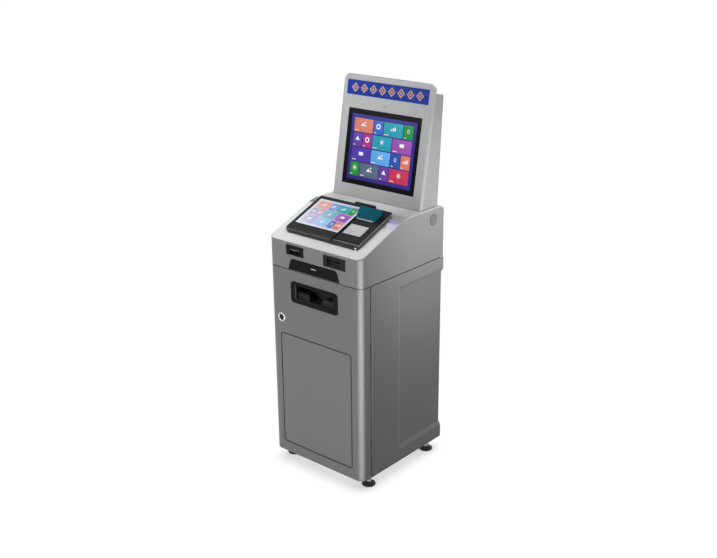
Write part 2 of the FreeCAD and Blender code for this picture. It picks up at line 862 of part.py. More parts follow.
def pip_places():
    return [reader_x + (k - 2) * 9.5 for k in range(5)]


def card_reader_body():
    y0 = front + bezel_t
    slot_z = (reader_low + reader_high) / 2 - card_slot_drop
    outer = box(reader_x - reader_body_half, reader_x + reader_body_half, y0, y0 + reader_len,
                reader_low + reader_body_play / 2, reader_high - reader_body_play)
    slot = box(reader_x - card_slot_half, reader_x + card_slot_half, y0 - 1,
               y0 + reader_len - reader_end,
               slot_z - card_slot_h / 2, slot_z + card_slot_h / 2)
    return cut(outer, [slot])


def dip_pocket():
    """The deep recess of the dip reader, its floor rising to the back."""
    y0 = front - bezel_proud
    low, high = dip_low + 10, dip_high - 5
    return [(y0 - 1, low - 5), (y0 + 9, low + 4), (y0 + 9, high), (y0 - 1, high)]


def dip_reader_bezel():
    x0, x1 = dip_x - dip_half, dip_x + dip_half
    y0, y1 = front - bezel_proud, front + bezel_t + dip_body_t
    body = front_plate(x0, x1, dip_low, dip_high, y0, y1, 1.5)
    edges = [e for e in body.Edges if abs(e.BoundBox.YMax - y0) < 1e-4]
    body = body.makeFillet(1.0, edges)
    pocket = profile(dip_pocket(), dip_slot_x() - 34, dip_slot_x() + 34)
    slot = box(dip_slot_x() - card_slot_half, dip_slot_x() + card_slot_half, y0, y1 + 1,
               dip_slot_z() - card_slot_h / 2, dip_slot_z() + card_slot_h / 2)
    strip = front_plate(x0 + 4, x0 + 12, dip_low + 6, dip_high - 6, y0 - 1, y0 + 1, 1)
    return cut(body, [pocket, slot, strip])


def dip_slot_x():
    return dip_x - 2.5


def dip_slot_z():
    return (dip_low + dip_high) / 2 + 1


def dip_reader_body():
    y0 = front + bezel_t + dip_body_t
    end = y0 + reader_len - reader_end
    outer = box(dip_x - dip_body_half, dip_x + dip_body_half, y0, end,
                dip_low + reader_body_play / 2, dip_high - reader_body_play)
    slot = box(dip_slot_x() - card_slot_half, dip_slot_x() + card_slot_half, y0 - 1,
               end - reader_end, dip_slot_z() - card_slot_h / 2, dip_slot_z() + card_slot_h / 2)
    return cut(outer, [slot])


def side_caps():
    caps = []
    for side in (-1, 1):
        disc = cylinder(side * half, cap_y, cap_z, cap_r, cap_t, (side, 0, 0))
        edges = [e for e in disc.Edges if abs(abs(e.BoundBox.XMin) - half - cap_t) < 1e-4
                 and e.BoundBox.XLength < 1e-4]
        disc = disc.makeFillet(1.0, edges)
        plug = cylinder(side * half, cap_y, cap_z, cap_r - 6 - fit_gap, 6, (-side, 0, 0))
        caps.append(fuse([disc, plug]))
    return Part.Compound(caps)


def head_rear_panel():
    y1 = rear - head_wall
    plate = front_plate(-vent_half - 14, vent_half + 14, vent_low - 12, vent_high + 12,
                        y1 - frame_sheet, y1, 6)
    slots = []
    for column in (-1, 1):
        for k in range(9):
            z = vent_low + 28 + k * 12
            slots.append(front_plate(column * 95 - 62, column * 95 + 62, z, z + 4,
                                     y1 - frame_sheet - 1, y1 + 1, 1.9))
    return cut(plate, slots + screw_holes(head_screw_places(), y1))


def head_screw_places():
    return [(x, z) for x in (-vent_half + 10, 0, vent_half - 10)
            for z in (vent_low + 10, vent_high - 10)]


def screw_holes(places, y):
    return [cylinder(x, y - screw_len - 1, z, screw_r + run_gap, screw_len + 2, (0, 1, 0))
            for x, z in places]


def rear_screw(x, y, z):
    head = cylinder(x, y, z, screw_head_r, screw_head_t, (0, 1, 0))
    top = [e for e in head.Edges if abs(e.BoundBox.YMin - y - screw_head_t) < 1e-4]
    head = head.makeFillet(1.0, top)
    shank = cylinder(x, y - screw_len, z, screw_r, screw_len, (0, 1, 0))
    cross = [box(x - 0.5, x + 0.5, y + 1, y + 3, z - 2, z + 2),
             box(x - 2, x + 2, y + 1, y + 3, z - 0.5, z + 0.5)]
    return cut(head.fuse(shank), cross)


# Desk terminal


def terminal_case():
    outline = [(case_left, case_front_left, 0, 9), (case_step, case_front_left, 0),
               (case_step, case_front_right, 0), (case_right, case_front_right, 0, 6),
               (case_right, case_rear, 0, 6), (case_left, case_rear, 0, 9)]
    body = prism(outline, (0, 0, case_t))
    trim = box(case_right, case_right + trim_t, case_front_right + 6, case_rear - 6,
               case_t - 3.5, case_t)
    hole = cylinder(button_u, case_front_right - 1, case_t / 2, button_r + run_gap, 9, (0, 1, 0))
    case = on_slope(cut(body.fuse(trim), [hole, slip_bucket(0.5)]))
    return fuse([case, skirt(case_left + 3, case_right - 3, skirt_front, case_rear - 2)])


def skirt(u0, u1, v0, v1):
    """A rim that reaches down to the desk where the desk bends away from the slope."""
    desk = head_solid(0, False)
    desk.translate(Vector(0, 0, fit_gap))
    block = on_slope(cut(box(u0, u1, v0, v1, -skirt_drop, 1),
                         [box(u0 + 3, u1 - 3, v0 - 1, v1 - 3, -skirt_drop - 1, 2)]))
    return block.cut(desk)


def tablet_body():
    z0, z1 = case_t, case_t + tablet_t
    outline = [(case_left, case_front_left, z0, 9),
               (tablet_right, case_front_left, z0, tablet_cut_r),
               (tablet_right, case_rear, z0, 2), (case_left, case_rear, z0, 9)]
    body = prism(outline, (0, 0, tablet_t))
    nose = profile([(case_front_left - 2, z0 - 1), (case_front_left, z0 - 1),
                    (case_front_left + 11, z1 + 0.1), (case_front_left - 2, z1 + 1)],
                   case_left - 1, tablet_right + 1)
    pocket = box(screen_left - fit_gap, screen_right + fit_gap, screen_low - fit_gap,
                 screen_high + fit_gap, z1 - screen_t, z1 + 1)
    return on_slope(cut(body, [nose, pocket]))


def tablet_screen():
    z0 = case_t + tablet_t - screen_t
    r = screen_r
    plate = prism([(screen_left, screen_low, z0, r), (screen_right, screen_low, z0, r),
                   (screen_right, screen_high, z0, r), (screen_left, screen_high, z0, r)],
                  (0, 0, screen_t + screen_proud))
    return on_slope(plate)


def right_cover():
    z0, z1 = case_t, case_t + cover_t
    outline = [(tablet_right + fit_gap, cover_front, z0), (case_right, cover_front, z0),
               (case_right, case_rear, z0, 6), (tablet_right + fit_gap, case_rear, z0)]
    body = prism(outline, (0, 0, cover_t))
    nose = profile([(case_front_right + 3, z0), (cover_front, z0), (cover_front, z1)],
                   tablet_right + fit_gap, case_right)
    return on_slope(cut(body.fuse(nose), [slip_bucket(0.5)]))


def id_card_pad():
    z0 = case_t + cover_t
    x0, x1 = pad_u - pad_w / 2, pad_u + pad_w / 2
    y0, y1 = pad_v - pad_h / 2, pad_v + pad_h / 2
    plate = prism([(x0, y0, z0, 3), (x1, y0, z0, 3), (x1, y1, z0, 3), (x0, y1, z0, 3)], (0, 0, 1.2))
    edges = [e for e in plate.Edges if abs(e.BoundBox.ZMin - z0 - 1.2) < 1e-4]
    return on_slope(plate.makeFillet(0.5, edges))


def terminal_button():
    body = cylinder(button_u, case_front_right - 2 * button_travel, case_t / 2, button_r,
                    2 * button_travel + 5, (0, 1, 0))
    edges = [e for e in body.Edges if abs(e.BoundBox.YMax - case_front_right + 2 * button_travel) < 1e-4]
    return on_slope(body.makeFillet(0.8, edges))


def cable_cover():
    body = prism([(-12, case_rear, 1.0), (91, case_rear, 1.0), (91, case_rear + 10, 1.0, 3),
                  (-12, case_rear + 10, 1.0, 3)], (0, 0, 17))
    stud = cylinder(-12, case_rear + 5, 13, 3.4, 5, (-1, 0, 0))
    return fuse([on_slope(body.fuse(stud)), skirt(-10, 89, case_rear + 1, case_rear + 8)])


# Slip printer


def slip_bucket(grow):
    """Outside of the paper bucket that sinks through the terminal and the desk."""
    x0, x1 = roll_mid() - roll_half - 6 - grow, roll_mid() + roll_half + 6 + grow
    y0 = roll_v - roll_r - 2 - bucket_wall - grow
    y1 = roll_v + roll_r + 2 + bucket_wall + grow
    return box(x0, x1, y0, y1, roll_w - roll_r - 2 - bucket_wall - grow, case_t + cover_t + 0.001)


def roll_mid():
    return (slip_left + slip_right) / 2


def lug_span(side):
    ends = (roll_mid() + side * (roll_half + 0.5), roll_mid() + side * (roll_half + 5))
    return sorted(ends)


def slip_printer_base():
    z0 = case_t + cover_t
    z1 = z0 + slip_base_t
    plate = prism([(slip_left, slip_front, z0, 4), (slip_right, slip_front, z0, 4),
                   (slip_right, slip_rear, z0, 4), (slip_left, slip_rear, z0, 4)], (0, 0, slip_base_t))
    body = plate.fuse(slip_bucket(0))
    room = box(roll_mid() - roll_half - 3, roll_mid() + roll_half + 3, roll_v - roll_r - 2,
               roll_v + roll_r + 2, roll_w - roll_r - 2, z1 + 1)
    platen_room = box(roll_mid() - roll_half - 3, roll_mid() + roll_half + 3, platen_v - 7,
                      roll_v, z0 + 0.5, z1 + 1)
    body = body.cut(room).cut(platen_room)
    lugs = []
    for side in (-1, 1):
        x0, x1 = lug_span(side)
        top = lid_axis_w + 2.6
        lugs.append(profile([(lid_axis_v - lug_half, z1), (lid_axis_v - lug_half, top, 2.6),
                             (lid_axis_v + lug_half, top, 2.6), (lid_axis_v + lug_half, z1)], x0, x1))
    rod = cylinder(roll_mid() - roll_half - 5, lid_axis_v, lid_axis_w, lid_pin_r,
                   2 * roll_half + 10, (1, 0, 0))
    spindle = cylinder(roll_mid() - roll_half - 4, roll_v, roll_w, spindle_r, 2 * roll_half + 8,
                       (1, 0, 0))
    return on_slope(fuse([body, rod, spindle] + lugs))


def lid_side():
    """Side outline of the lid, pulled in by wall."""
    z0 = case_t + cover_t + slip_base_t + fit_gap
    back = lid_axis_v + lid_heel
    return z0, [(lid_front, z0), (lid_crest, lid_crest_w, 3),
                (lid_crest + lid_crest_len, lid_crest_w, 4), (back, lid_axis_w + 1), (back, z0)]


def slip_printer_lid():
    z0, outline = lid_side()
    x0, x1 = slip_left + 2, slip_right - 2
    outer = profile(outline, x0, x1)
    wall = lid_wall
    rise = (lid_crest_w - z0) / (lid_crest - lid_front)
    drop = wall * math.sqrt(1 + rise * rise)
    back = lid_axis_v + lid_heel - wall - 0.7
    top = lid_crest_w - wall
    room = profile([(lid_front + drop / rise, z0), (lid_crest + (drop - wall) / rise, top),
                    (lid_crest + lid_crest_len - 1, top), (back, lid_axis_w + 1), (back, z0 - 1),
                    (lid_front + drop / rise, z0 - 1)], x0 + wall, x1 - wall)
    heel = box(x0 - 1, x1 + 1, lid_axis_v - 5.5, lid_axis_v + lid_heel + 1, z0 - 1, lid_axis_w + 2)
    shell = outer.cut(room).cut(heel)
    for side in (-1, 1):
        a, b = lug_span(side)
        shell = shell.cut(cylinder(a - 0.8, lid_axis_v, lid_axis_w, lug_half + 2.4, b - a + 1.6, (1, 0, 0)))
    knuckles = []
    for side in (-1, 1):
        x = roll_mid() + side * 24
        barrel = cylinder(x - 5, lid_axis_v, lid_axis_w, 3.4, 10, (1, 0, 0))
        web = box(x - 5, x + 5, lid_axis_v, lid_axis_v + lid_heel - 2, lid_axis_w + 1, lid_axis_w + 7)
        knuckles.append(barrel.fuse(web))
    bore = cylinder(x0, lid_axis_v, lid_axis_w, lid_pin_r + run_gap, x1 - x0, (1, 0, 0))
    shaft = cylinder(x0 + 0.8, platen_v, platen_w, lid_pin_r + run_gap, x1 - x0 - 1.6, (1, 0, 0))
    body = fuse([shell] + knuckles).cut(bore.cut(box(x0, x0 + 20, 0, 400, 0, 60))
                                         .cut(box(x1 - 20, x1, 0, 400, 0, 60)))
    return on_slope(body.cut(shaft).removeSplitter())


def platen_roller():
    x0, x1 = slip_left + 3.2, slip_right - 3.2
    drum = cylinder(roll_mid() - roll_half, platen_v, platen_w, platen_r, 2 * roll_half, (1, 0, 0))
    shaft = cylinder(x0, platen_v, platen_w, lid_pin_r, x1 - x0, (1, 0, 0))
    return on_slope(fuse([drum, shaft]))


def paper_roll():
    body = cylinder(roll_mid() - roll_half, roll_v, roll_w, roll_r, 2 * roll_half, (1, 0, 0))
    bore = cylinder(roll_mid() - roll_half - 1, roll_v, roll_w, spindle_r + run_gap,
                    2 * roll_half + 2, (1, 0, 0))
    return on_slope(cut(body, [bore]))


def tear_bar():
    z0 = case_t + cover_t + slip_base_t
    bar = profile([(slip_front + 0.8, z0), (slip_front + 0.8, z0 + 1), (slip_front + 5.5, z0 + 3),
                   (slip_front + 6.5, z0 + 3), (slip_front + 6.5, z0)],
                  roll_mid() - roll_half - 2, roll_mid() + roll_half + 2)
    return on_slope(bar)


# Monitor


def monitor_plate():
    body = prism([(-monitor_half, 0, -60), (monitor_half, 0, -60),
                  (monitor_half, 0, monitor_h, plate_r), (-monitor_half, 0, monitor_h, plate_r)],
                 (0, plate_t, 0))
    edges = [e for e in body.Edges if e.BoundBox.YMax < 1e-4 and e.BoundBox.ZMax > 0]
    body = body.makeFillet(plate_edge_r, edges)
    glass = front_plate(-glass_half - fit_gap, glass_half + fit_gap, glass_low - fit_gap,
                        glass_high + fit_gap, -1, plate_t + 1, 1)
    sign = front_plate(-sign_half - fit_gap, sign_half + fit_gap, sign_low - fit_gap,
                       sign_high + fit_gap, -1, 1.5, 1)
    lens = cylinder(0, -1, lens_v, lens_r + run_gap, plate_t + 2, (0, 1, 0))
    return on_face(cut(body, [glass, sign, lens]))


def shell_outline(drop):
    tilt = math.radians(monitor_tilt)
    back = plate_t
    foot_y = monitor_y + back / math.cos(tilt)
    top_y = monitor_y + shell_high * math.sin(tilt) + back * math.cos(tilt)
    top_z = head_top + shell_high * math.cos(tilt) - back * math.sin(tilt)
    end_y = shell_rear_high
    end_z = top_z - (end_y - top_y) * math.tan(tilt)
    if not drop:
        return [(foot_y, head_top), (top_y, top_z), (end_y, end_z, 8), (shell_rear_low, head_top)]
    reach = 10 * math.tan(tilt)
    return [(foot_y - 10 - reach, head_top + drop), (top_y - 10, top_z - drop + reach * 0.7),
            (end_y - drop, end_z - drop, 6), (shell_rear_low - drop, head_top + drop)]


def monitor_shell():
    x = monitor_half - shell_inset
    outer = profile(shell_outline(0), -x, x)
    hollow = profile(shell_outline(shell_wall), -x + shell_wall, x - shell_wall)
    window = front_plate(-cover_half + 12, cover_half - 12, cover_low + 12, cover_high - 12,
                         shell_rear_low - 20, rear + 5, 6)
    ways = box(-60, 60, monitor_y + 45, monitor_y + 85, head_top - 1, head_top + shell_wall + 1)
    holes = shell_screw_holes()
    return cut(outer.cut(hollow), [window, ways] + holes)


def rear_lean():
    high = shell_outline(0)[2]
    return math.atan2(shell_rear_high - shell_rear_low, high[1] - head_top)


def on_back(shape):
    """Place a shape drawn about y = 0, z = 0 on the monitor's leaning back."""
    out = shape.copy()
    out.Placement = Placement(Vector(0, shell_rear_low, head_top),
                              Rotation(Vector(1, 0, 0), -math.degrees(rear_lean())))
    return out.copy()


def cover_screw_places():
    low, high = cover_low - head_top, cover_high - head_top
    return [(x, z) for x in (-cover_half + 8, cover_half - 8)
            for z in (low + 8, (low + high) / 2, high - 8)]


def shell_screw_holes():
    return [on_back(h) for h in screw_holes(cover_screw_places(), 1.5)]


def monitor_rear_cover():
    low, high = cover_low - head_top, cover_high - head_top
    plate = front_plate(-cover_half, cover_half, low, high, 0, 1.5, 8)
    slots = []
    for column in (-1, 1):
        for k in range(12):
            z = high - 40 - k * 11
            slots.append(front_plate(column * 78 - 50, column * 78 + 50, z - 4, z, -1, 3, 1.9))
    return on_back(cut(plate, slots + screw_holes(cover_screw_places(), 1.5)))


def sign_panel():
    return on_face(front_plate(-sign_half, sign_half, sign_low, sign_high, -0.5, 1.5, 1))


def screen_surround():
    outer = front_plate(-glass_half, glass_half, glass_low, glass_high, 0.8, 6, 1)
    room = front_plate(-active_half, active_half, active_low, active_high, 0, 7)
    return on_face(cut(outer, [room]))


def monitor_screen():
    return on_face(front_plate(-active_half, active_half, active_low, active_high, 1.2, 6))


def lcd_module():
    """The panel, its board, and the two upright straps that hold it to the front plate."""
    body = front_plate(-glass_half + 8, glass_half - 8, glass_low + 8, glass_high - 8, 6, 24, 3)
    board = front_plate(-90, 90, glass_low + 60, glass_high - 90, 24, 32, 3)
    bars = []
    for side in (-1, 1):
        x = side * (glass_half - 25)
        low, high = glass_low - 26, glass_high + 26
        bars.append(front_plate(x - 9, x + 9, low, high, 24, 26))
        bars += [front_plate(x - 9, x + 9, z, z + 12, plate_t, 26) for z in (low, high - 12)]
    return on_face(fuse([body, board] + bars))


def camera_lens():
    body = cylinder(0, -0.4, lens_v, lens_r, plate_t + 0.4, (0, 1, 0))
    board = box(-14, 14, plate_t, plate_t + 6, lens_v - 10, lens_v + 10)
    return on_face(fuse([body, board]))


# Inside the cabinet


def exit_axis():
    return frame_face + frame_depth + 12, tray_mouth_high - 12


def printer_case():
    y0 = frame_face + frame_depth + 2
    body = box(-printer_half, printer_half, y0, printer_back, shelf_z, shelf_z + printer_h)
    edges = [e for e in body.Edges if e.BoundBox.ZLength > printer_h - 1]
    body = body.makeFillet(12, edges)
    y, z = exit_axis()
    throat = box(-tray_mouth_half, tray_mouth_half, y0 - 1, y + 16, z - exit_roller_r - 14,
                 z + exit_roller_r + 3)
    cassette = box(-150, 150, y0 - 1, y0 + 1, shelf_z + 14, shelf_z + 16)
    grip = front_plate(-40, 40, shelf_z + 26, shelf_z + 44, y0 - 1, y0 + 12, 4)
    return cut(body, [throat, cassette, grip])


def pc_case():
    body = box(pc_left, pc_right, pc_front, pc_rear, pc_low, pc_high)
    mid = (pc_low + pc_high) / 2
    well = cylinder(fan_x, pc_rear - 26, mid, fan_r + 1, 27, (0, 1, 0))
    hub = cylinder(fan_x, pc_rear - 26, mid, 3, 20, (0, 1, 0))
    slots = [box(x, x + 6, pc_rear - 8, pc_rear + 1, mid - 30, mid + 30) 
             for x in (fan_x + 70, fan_x + 85, fan_x + 100, fan_x + 115)]
    feet = [cylinder(x, y, pan_top, 9, pc_low - pan_top, (0, 0, 1))
            for x in (pc_left + 20, pc_right - 20) for y in (pc_front + 20, pc_rear - 20)]
    return fuse([cut(body, [well] + slots), hub] + feet)


def pc_fan():
    mid = (pc_low + pc_high) / 2
    y0 = pc_rear - 22
    hub = cylinder(fan_x, y0, mid, 15, 14, (0, 1, 0))
    blades = []
    for k in range(7):
        blade = box(fan_x + 12, fan_x + fan_r - 1, y0 + 5, y0 + 7, mid - 9, mid + 9)
        blade.rotate(Vector(fan_x + 25, y0 + 6, mid), Vector(1, 0, 0), 30)
        blade.rotate(Vector(fan_x, y0, mid), Vector(0, 1, 0), k * 360.0 / 7)
        blades.append(blade)
    limit = cylinder(fan_x, y0 - 10, mid, fan_r - 1, 40, (0, 1, 0))
    bore = cylinder(fan_x, y0 - 1, mid, 3 + run_gap, 30, (0, 1, 0))
    return cut(fuse([hub] + blades).common(limit), [bore])


def power_box():
    y1 = rear_frame_front - power_end
    y0 = y1 - power_len
    top = pan_top + power_h
    body = box(power_left, power_right, y0, y1, pan_top, top)
    fins = [box(x, x + fin_t, y0 + fin_pitch, y1 - fin_pitch, top, top + fin_h)
            for x in [power_left + fin_pitch * (k + 1) - fin_t / 2 for k in range(8)]]
    return fuse([body] + fins)


def power_inlet():
    """Inlet socket and switch frame on one flange."""
    y = rear_frame_back
    reach = inlet_room + inlet_lap
    tall = inlet_room_half + inlet_lap
    flange = front_plate(inlet_x - reach, switch_x + reach, socket_z - tall, socket_z + tall, y, y + 2.5, 4)
    shroud = front_plate(inlet_x - 13.7, inlet_x + 13.7, socket_z - 9.7, socket_z + 9.7, y - 22, y, 2.8)
    room = front_plate(inlet_x - 12, inlet_x + 12, socket_z - 8, socket_z + 8, y - 17, y + 3, 3)
    pins = [box(x - 1, x + 1, y - 18, y - 3, socket_z + dz - 2, socket_z + dz + 2)
            for x, dz in ((inlet_x - 7, -2), (inlet_x, 2), (inlet_x + 7, -2))]
    sleeve = front_plate(switch_x - 10.2, switch_x + 10.2, socket_z - 14.2, socket_z + 14.2, y - 18, y)
    well = front_plate(switch_x - 8.2, switch_x + 8.2, socket_z - 12.2, socket_z + 12.2, y - 16, y + 3)
    rod = cylinder(switch_x - 9, y - 3, socket_z, 1.5, 18, (1, 0, 0))
    return fuse([cut(fuse([flange, shroud, sleeve]), [room, well]), rod] + pins)


def power_switch():
    y = rear_frame_back
    body = profile([(y - 8, socket_z - 5), (y + 3.2, socket_z - 11), (y + 0.6, socket_z),
                    (y + 3.2, socket_z + 11), (y - 8, socket_z + 5)], switch_x - 7.9, switch_x + 7.9)
    bore = cylinder(switch_x - 9, y - 3, socket_z, 1.5 + run_gap, 18, (1, 0, 0))
    body = cut(body, [bore])
    body.rotate(Vector(switch_x, y - 3, socket_z), Vector(1, 0, 0), 10)
    return body


# Feet


def foot(x, y):
    pad = cylinder(x, y, 0, pad_r, 7, (0, 0, 1))
    cone = Part.makeCone(pad_r, pad_r * 0.55, foot_pad_t - 7, Vector(x, y, 7), Vector(0, 0, 1))
    stem = cylinder(x, y, foot_pad_t, stem_r, stem_top - foot_pad_t, (0, 0, 1))
    lock_nut = hexagon(x, y, foot_pad_t, nut_r, nut_h)
    return fuse([pad, cone, stem, lock_nut])


def hexagon(x, y, z, r, h):
    points = [(x + r * math.cos(math.radians(60 * k)), y + r * math.sin(math.radians(60 * k)), z)
              for k in range(6)]
    return prism(points, (0, 0, h))


# Writing the parts

save("base_pan", base_pan())
save("side_panel_right", side_panel())
save("side_panel_left", mirror_x(side_panel()))
save("front_frame", front_frame())
save("lock_keeper", lock_keeper())
save("rear_frame", rear_frame())
save("top_deck", top_deck())
save("printer_shelf", shelf())
save("front_hinge_leaves", Part.Compound([front_leaf(z) for z in front_hinges]))
save("rear_hinge_leaves", Part.Compound([rear_leaf(z) for z in rear_hinges]))

save("front_door", front_door())
save("door_panel", door_panel())
save("door_lock_ring", lock_ring())
save("door_lock_cylinder", lock_cylinder())
save("tray_bezel", tray_bezel())
save("tray_bin", tray_bin())

save("rear_door", rear_door())
save("rear_lock_ring", rear_lock_ring())
save("rear_lock_cylinder", rear_lock_core())

save("head_shell", head_shell())
save("head_rear_panel", head_rear_panel())
save("side_caps", side_caps())
save("mouth_bezel", mouth_bezel())
save("mouth_flap", mouth_flap())
save("document_feeder", document_feeder())
save("card_reader_bezel", card_reader_bezel())
save("card_reader_body", card_reader_body())
save("dip_reader_bezel", dip_reader_bezel())
save("dip_reader_body", dip_reader_body())

save("terminal_case", terminal_case())
save("tablet_body", tablet_body())
save("tablet_screen", tablet_screen())
save("terminal_cover", right_cover())
save("id_card_pad", id_card_pad())
save("terminal_button", terminal_button())
save("cable_cover", cable_cover())

save("slip_printer_base", slip_printer_base())
save("slip_printer_lid", slip_printer_lid())
save("platen_roller", platen_roller())
save("paper_roll", paper_roll())
save("tear_bar", tear_bar())

save("monitor_front", monitor_plate())
save("monitor_shell", monitor_shell())
save("monitor_rear_cover", monitor_rear_cover())
save("sign_panel", sign_panel())
save("screen_surround", screen_surround())
save("monitor_screen", monitor_screen())
save("lcd_module", lcd_module())
save("camera_lens", camera_lens())

save("document_printer", printer_case())
save("pc_case", pc_case())
save("pc_fan", pc_fan())
save("power_box", power_box())
save("power_inlet", power_inlet())
save("power_switch", power_switch())

names = ["front_left", "front_right", "rear_left", "rear_right"]
for name, (x, y) in zip(names, foot_places()):
    save("foot_" + name, foot(x, y))

screws = [rear_screw(x, rear - head_wall, z) for x, z in head_screw_places()]
screws += [on_back(rear_screw(x, 1.5, z)) for x, z in cover_screw_places()]
save("cover_screws", Part.Compound(screws))
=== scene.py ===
# %% [markdown]
# A self-service kiosk, dressed for a studio photograph.
# The packed CAD model gives every solid in its place. This script adds what CAD leaves out: paint,
# plastic and glass that look right close up, the pictures on the two screens, small trim, lights
# and a camera. Lengths are in metres, +Z is up, and the kiosk's front looks along -Y. The first
# step loads the solids.

import bpy
import bmesh
import math
from mathutils import Matrix, Vector


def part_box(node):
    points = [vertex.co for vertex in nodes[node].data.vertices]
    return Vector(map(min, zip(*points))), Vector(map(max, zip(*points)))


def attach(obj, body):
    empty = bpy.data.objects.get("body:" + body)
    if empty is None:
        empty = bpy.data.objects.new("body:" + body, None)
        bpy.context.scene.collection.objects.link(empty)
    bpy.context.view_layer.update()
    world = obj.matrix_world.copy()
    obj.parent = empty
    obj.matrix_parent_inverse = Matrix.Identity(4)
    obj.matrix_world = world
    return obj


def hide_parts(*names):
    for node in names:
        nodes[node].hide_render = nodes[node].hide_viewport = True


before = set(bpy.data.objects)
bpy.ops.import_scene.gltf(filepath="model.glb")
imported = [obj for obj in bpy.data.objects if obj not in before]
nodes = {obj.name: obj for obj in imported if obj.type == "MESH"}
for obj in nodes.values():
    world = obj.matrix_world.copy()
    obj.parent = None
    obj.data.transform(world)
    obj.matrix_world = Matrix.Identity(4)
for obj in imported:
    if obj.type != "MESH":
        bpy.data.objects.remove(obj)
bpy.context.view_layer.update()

# %% [markdown]
# The desk slopes and the monitor leans. A picture or a mark on them is easiest to measure on the
# face itself, so small functions turn such sizes into the kiosk's own frame. The numbers repeat
# the ones that the solids were made from.

# %% Two tilted planes
FRONT = -0.260                 # the upright front face, along Y
SILL = 0.998                   # height at which the desk's slope meets the front face
SLOPE = math.radians(21.4)
HEAD_TOP = 1.101               # the flat top behind the slope, where the monitor stands
FACE_FOOT = 0.1165             # lower edge of the monitor's face, along Y
LEAN = math.radians(10.0)


def on_desk(u, v, w):
    """A point u across, v up the desk's slope and w off its surface."""
    return Vector((u, FRONT + v * math.cos(SLOPE) - w * math.sin(SLOPE),
                   SILL + v * math.sin(SLOPE) + w * math.cos(SLOPE)))


def on_monitor(u, v, w):
    """A point u across, v up the monitor's face and w in front of it."""
    return Vector((u, FACE_FOOT + v * math.sin(LEAN) - w * math.cos(LEAN),
                   HEAD_TOP + v * math.cos(LEAN) + w * math.sin(LEAN)))


def on_front(u, v, w):
    """A point on the upright front face: u across, v high, w in front of it."""
    return Vector((u, FRONT - w, v))


print("desk's upper end", on_desk(0.0, 0.290, 0.0), "screen's middle", on_monitor(0.0, 0.208, 0.0))

# %% [markdown]
# A procedural material is a network of nodes, and its maths is hard to follow as a list of links.
# Value wraps the output of a node so that it can be added, multiplied or compared like a number:
# each sign in a formula then adds one Math node. The mirrored forms let a plain number stand first,
# as in 1 - mask.

# %% Numbers as formulas
class Value:
    """The output of a node, used like a number."""

    def __init__(self, paint, socket):
        self.paint = paint
        self.socket = socket

    def calc(self, operation, *others, clamp=False):
        settings = {"operation": operation, "use_clamp": clamp}
        return self.paint.node("ShaderNodeMath", settings, (self,) + others)

    def __add__(self, other):
        return self.calc("ADD", other)

    def __sub__(self, other):
        return self.calc("SUBTRACT", other)

    def __mul__(self, other):
        return self.calc("MULTIPLY", other)

    def __pow__(self, other):
        return self.calc("POWER", other)

    def __gt__(self, other):
        return self.calc("GREATER_THAN", other)

    def __lt__(self, other):
        return self.calc("LESS_THAN", other)

    def __rsub__(self, other):
        return self.paint.node("ShaderNodeMath", {"operation": "SUBTRACT"}, (other, self))

    __radd__ = __add__
    __rmul__ = __mul__

    def fit(self, low, high):
        """0 at low, 1 at high, held at the ends."""
        return self.paint.node("ShaderNodeMapRange", {"clamp": True}, (self, low, high))


print("formulas know", [name.strip("_") for name, made in vars(Value).items() if callable(made)])

# %% [markdown]
# Paint starts one material, and its node method is the only way in which nodes are added: the
# settings come first, because they decide which sockets a node has, and then the links or numbers
# of its sockets. The other methods are what nearly every finish needs: noise, a mix of two
# colours, the place on the kiosk, and masks for sharp edges and for narrow joints. What is the
# same all over a surface is set as a number on the shader's own socket.

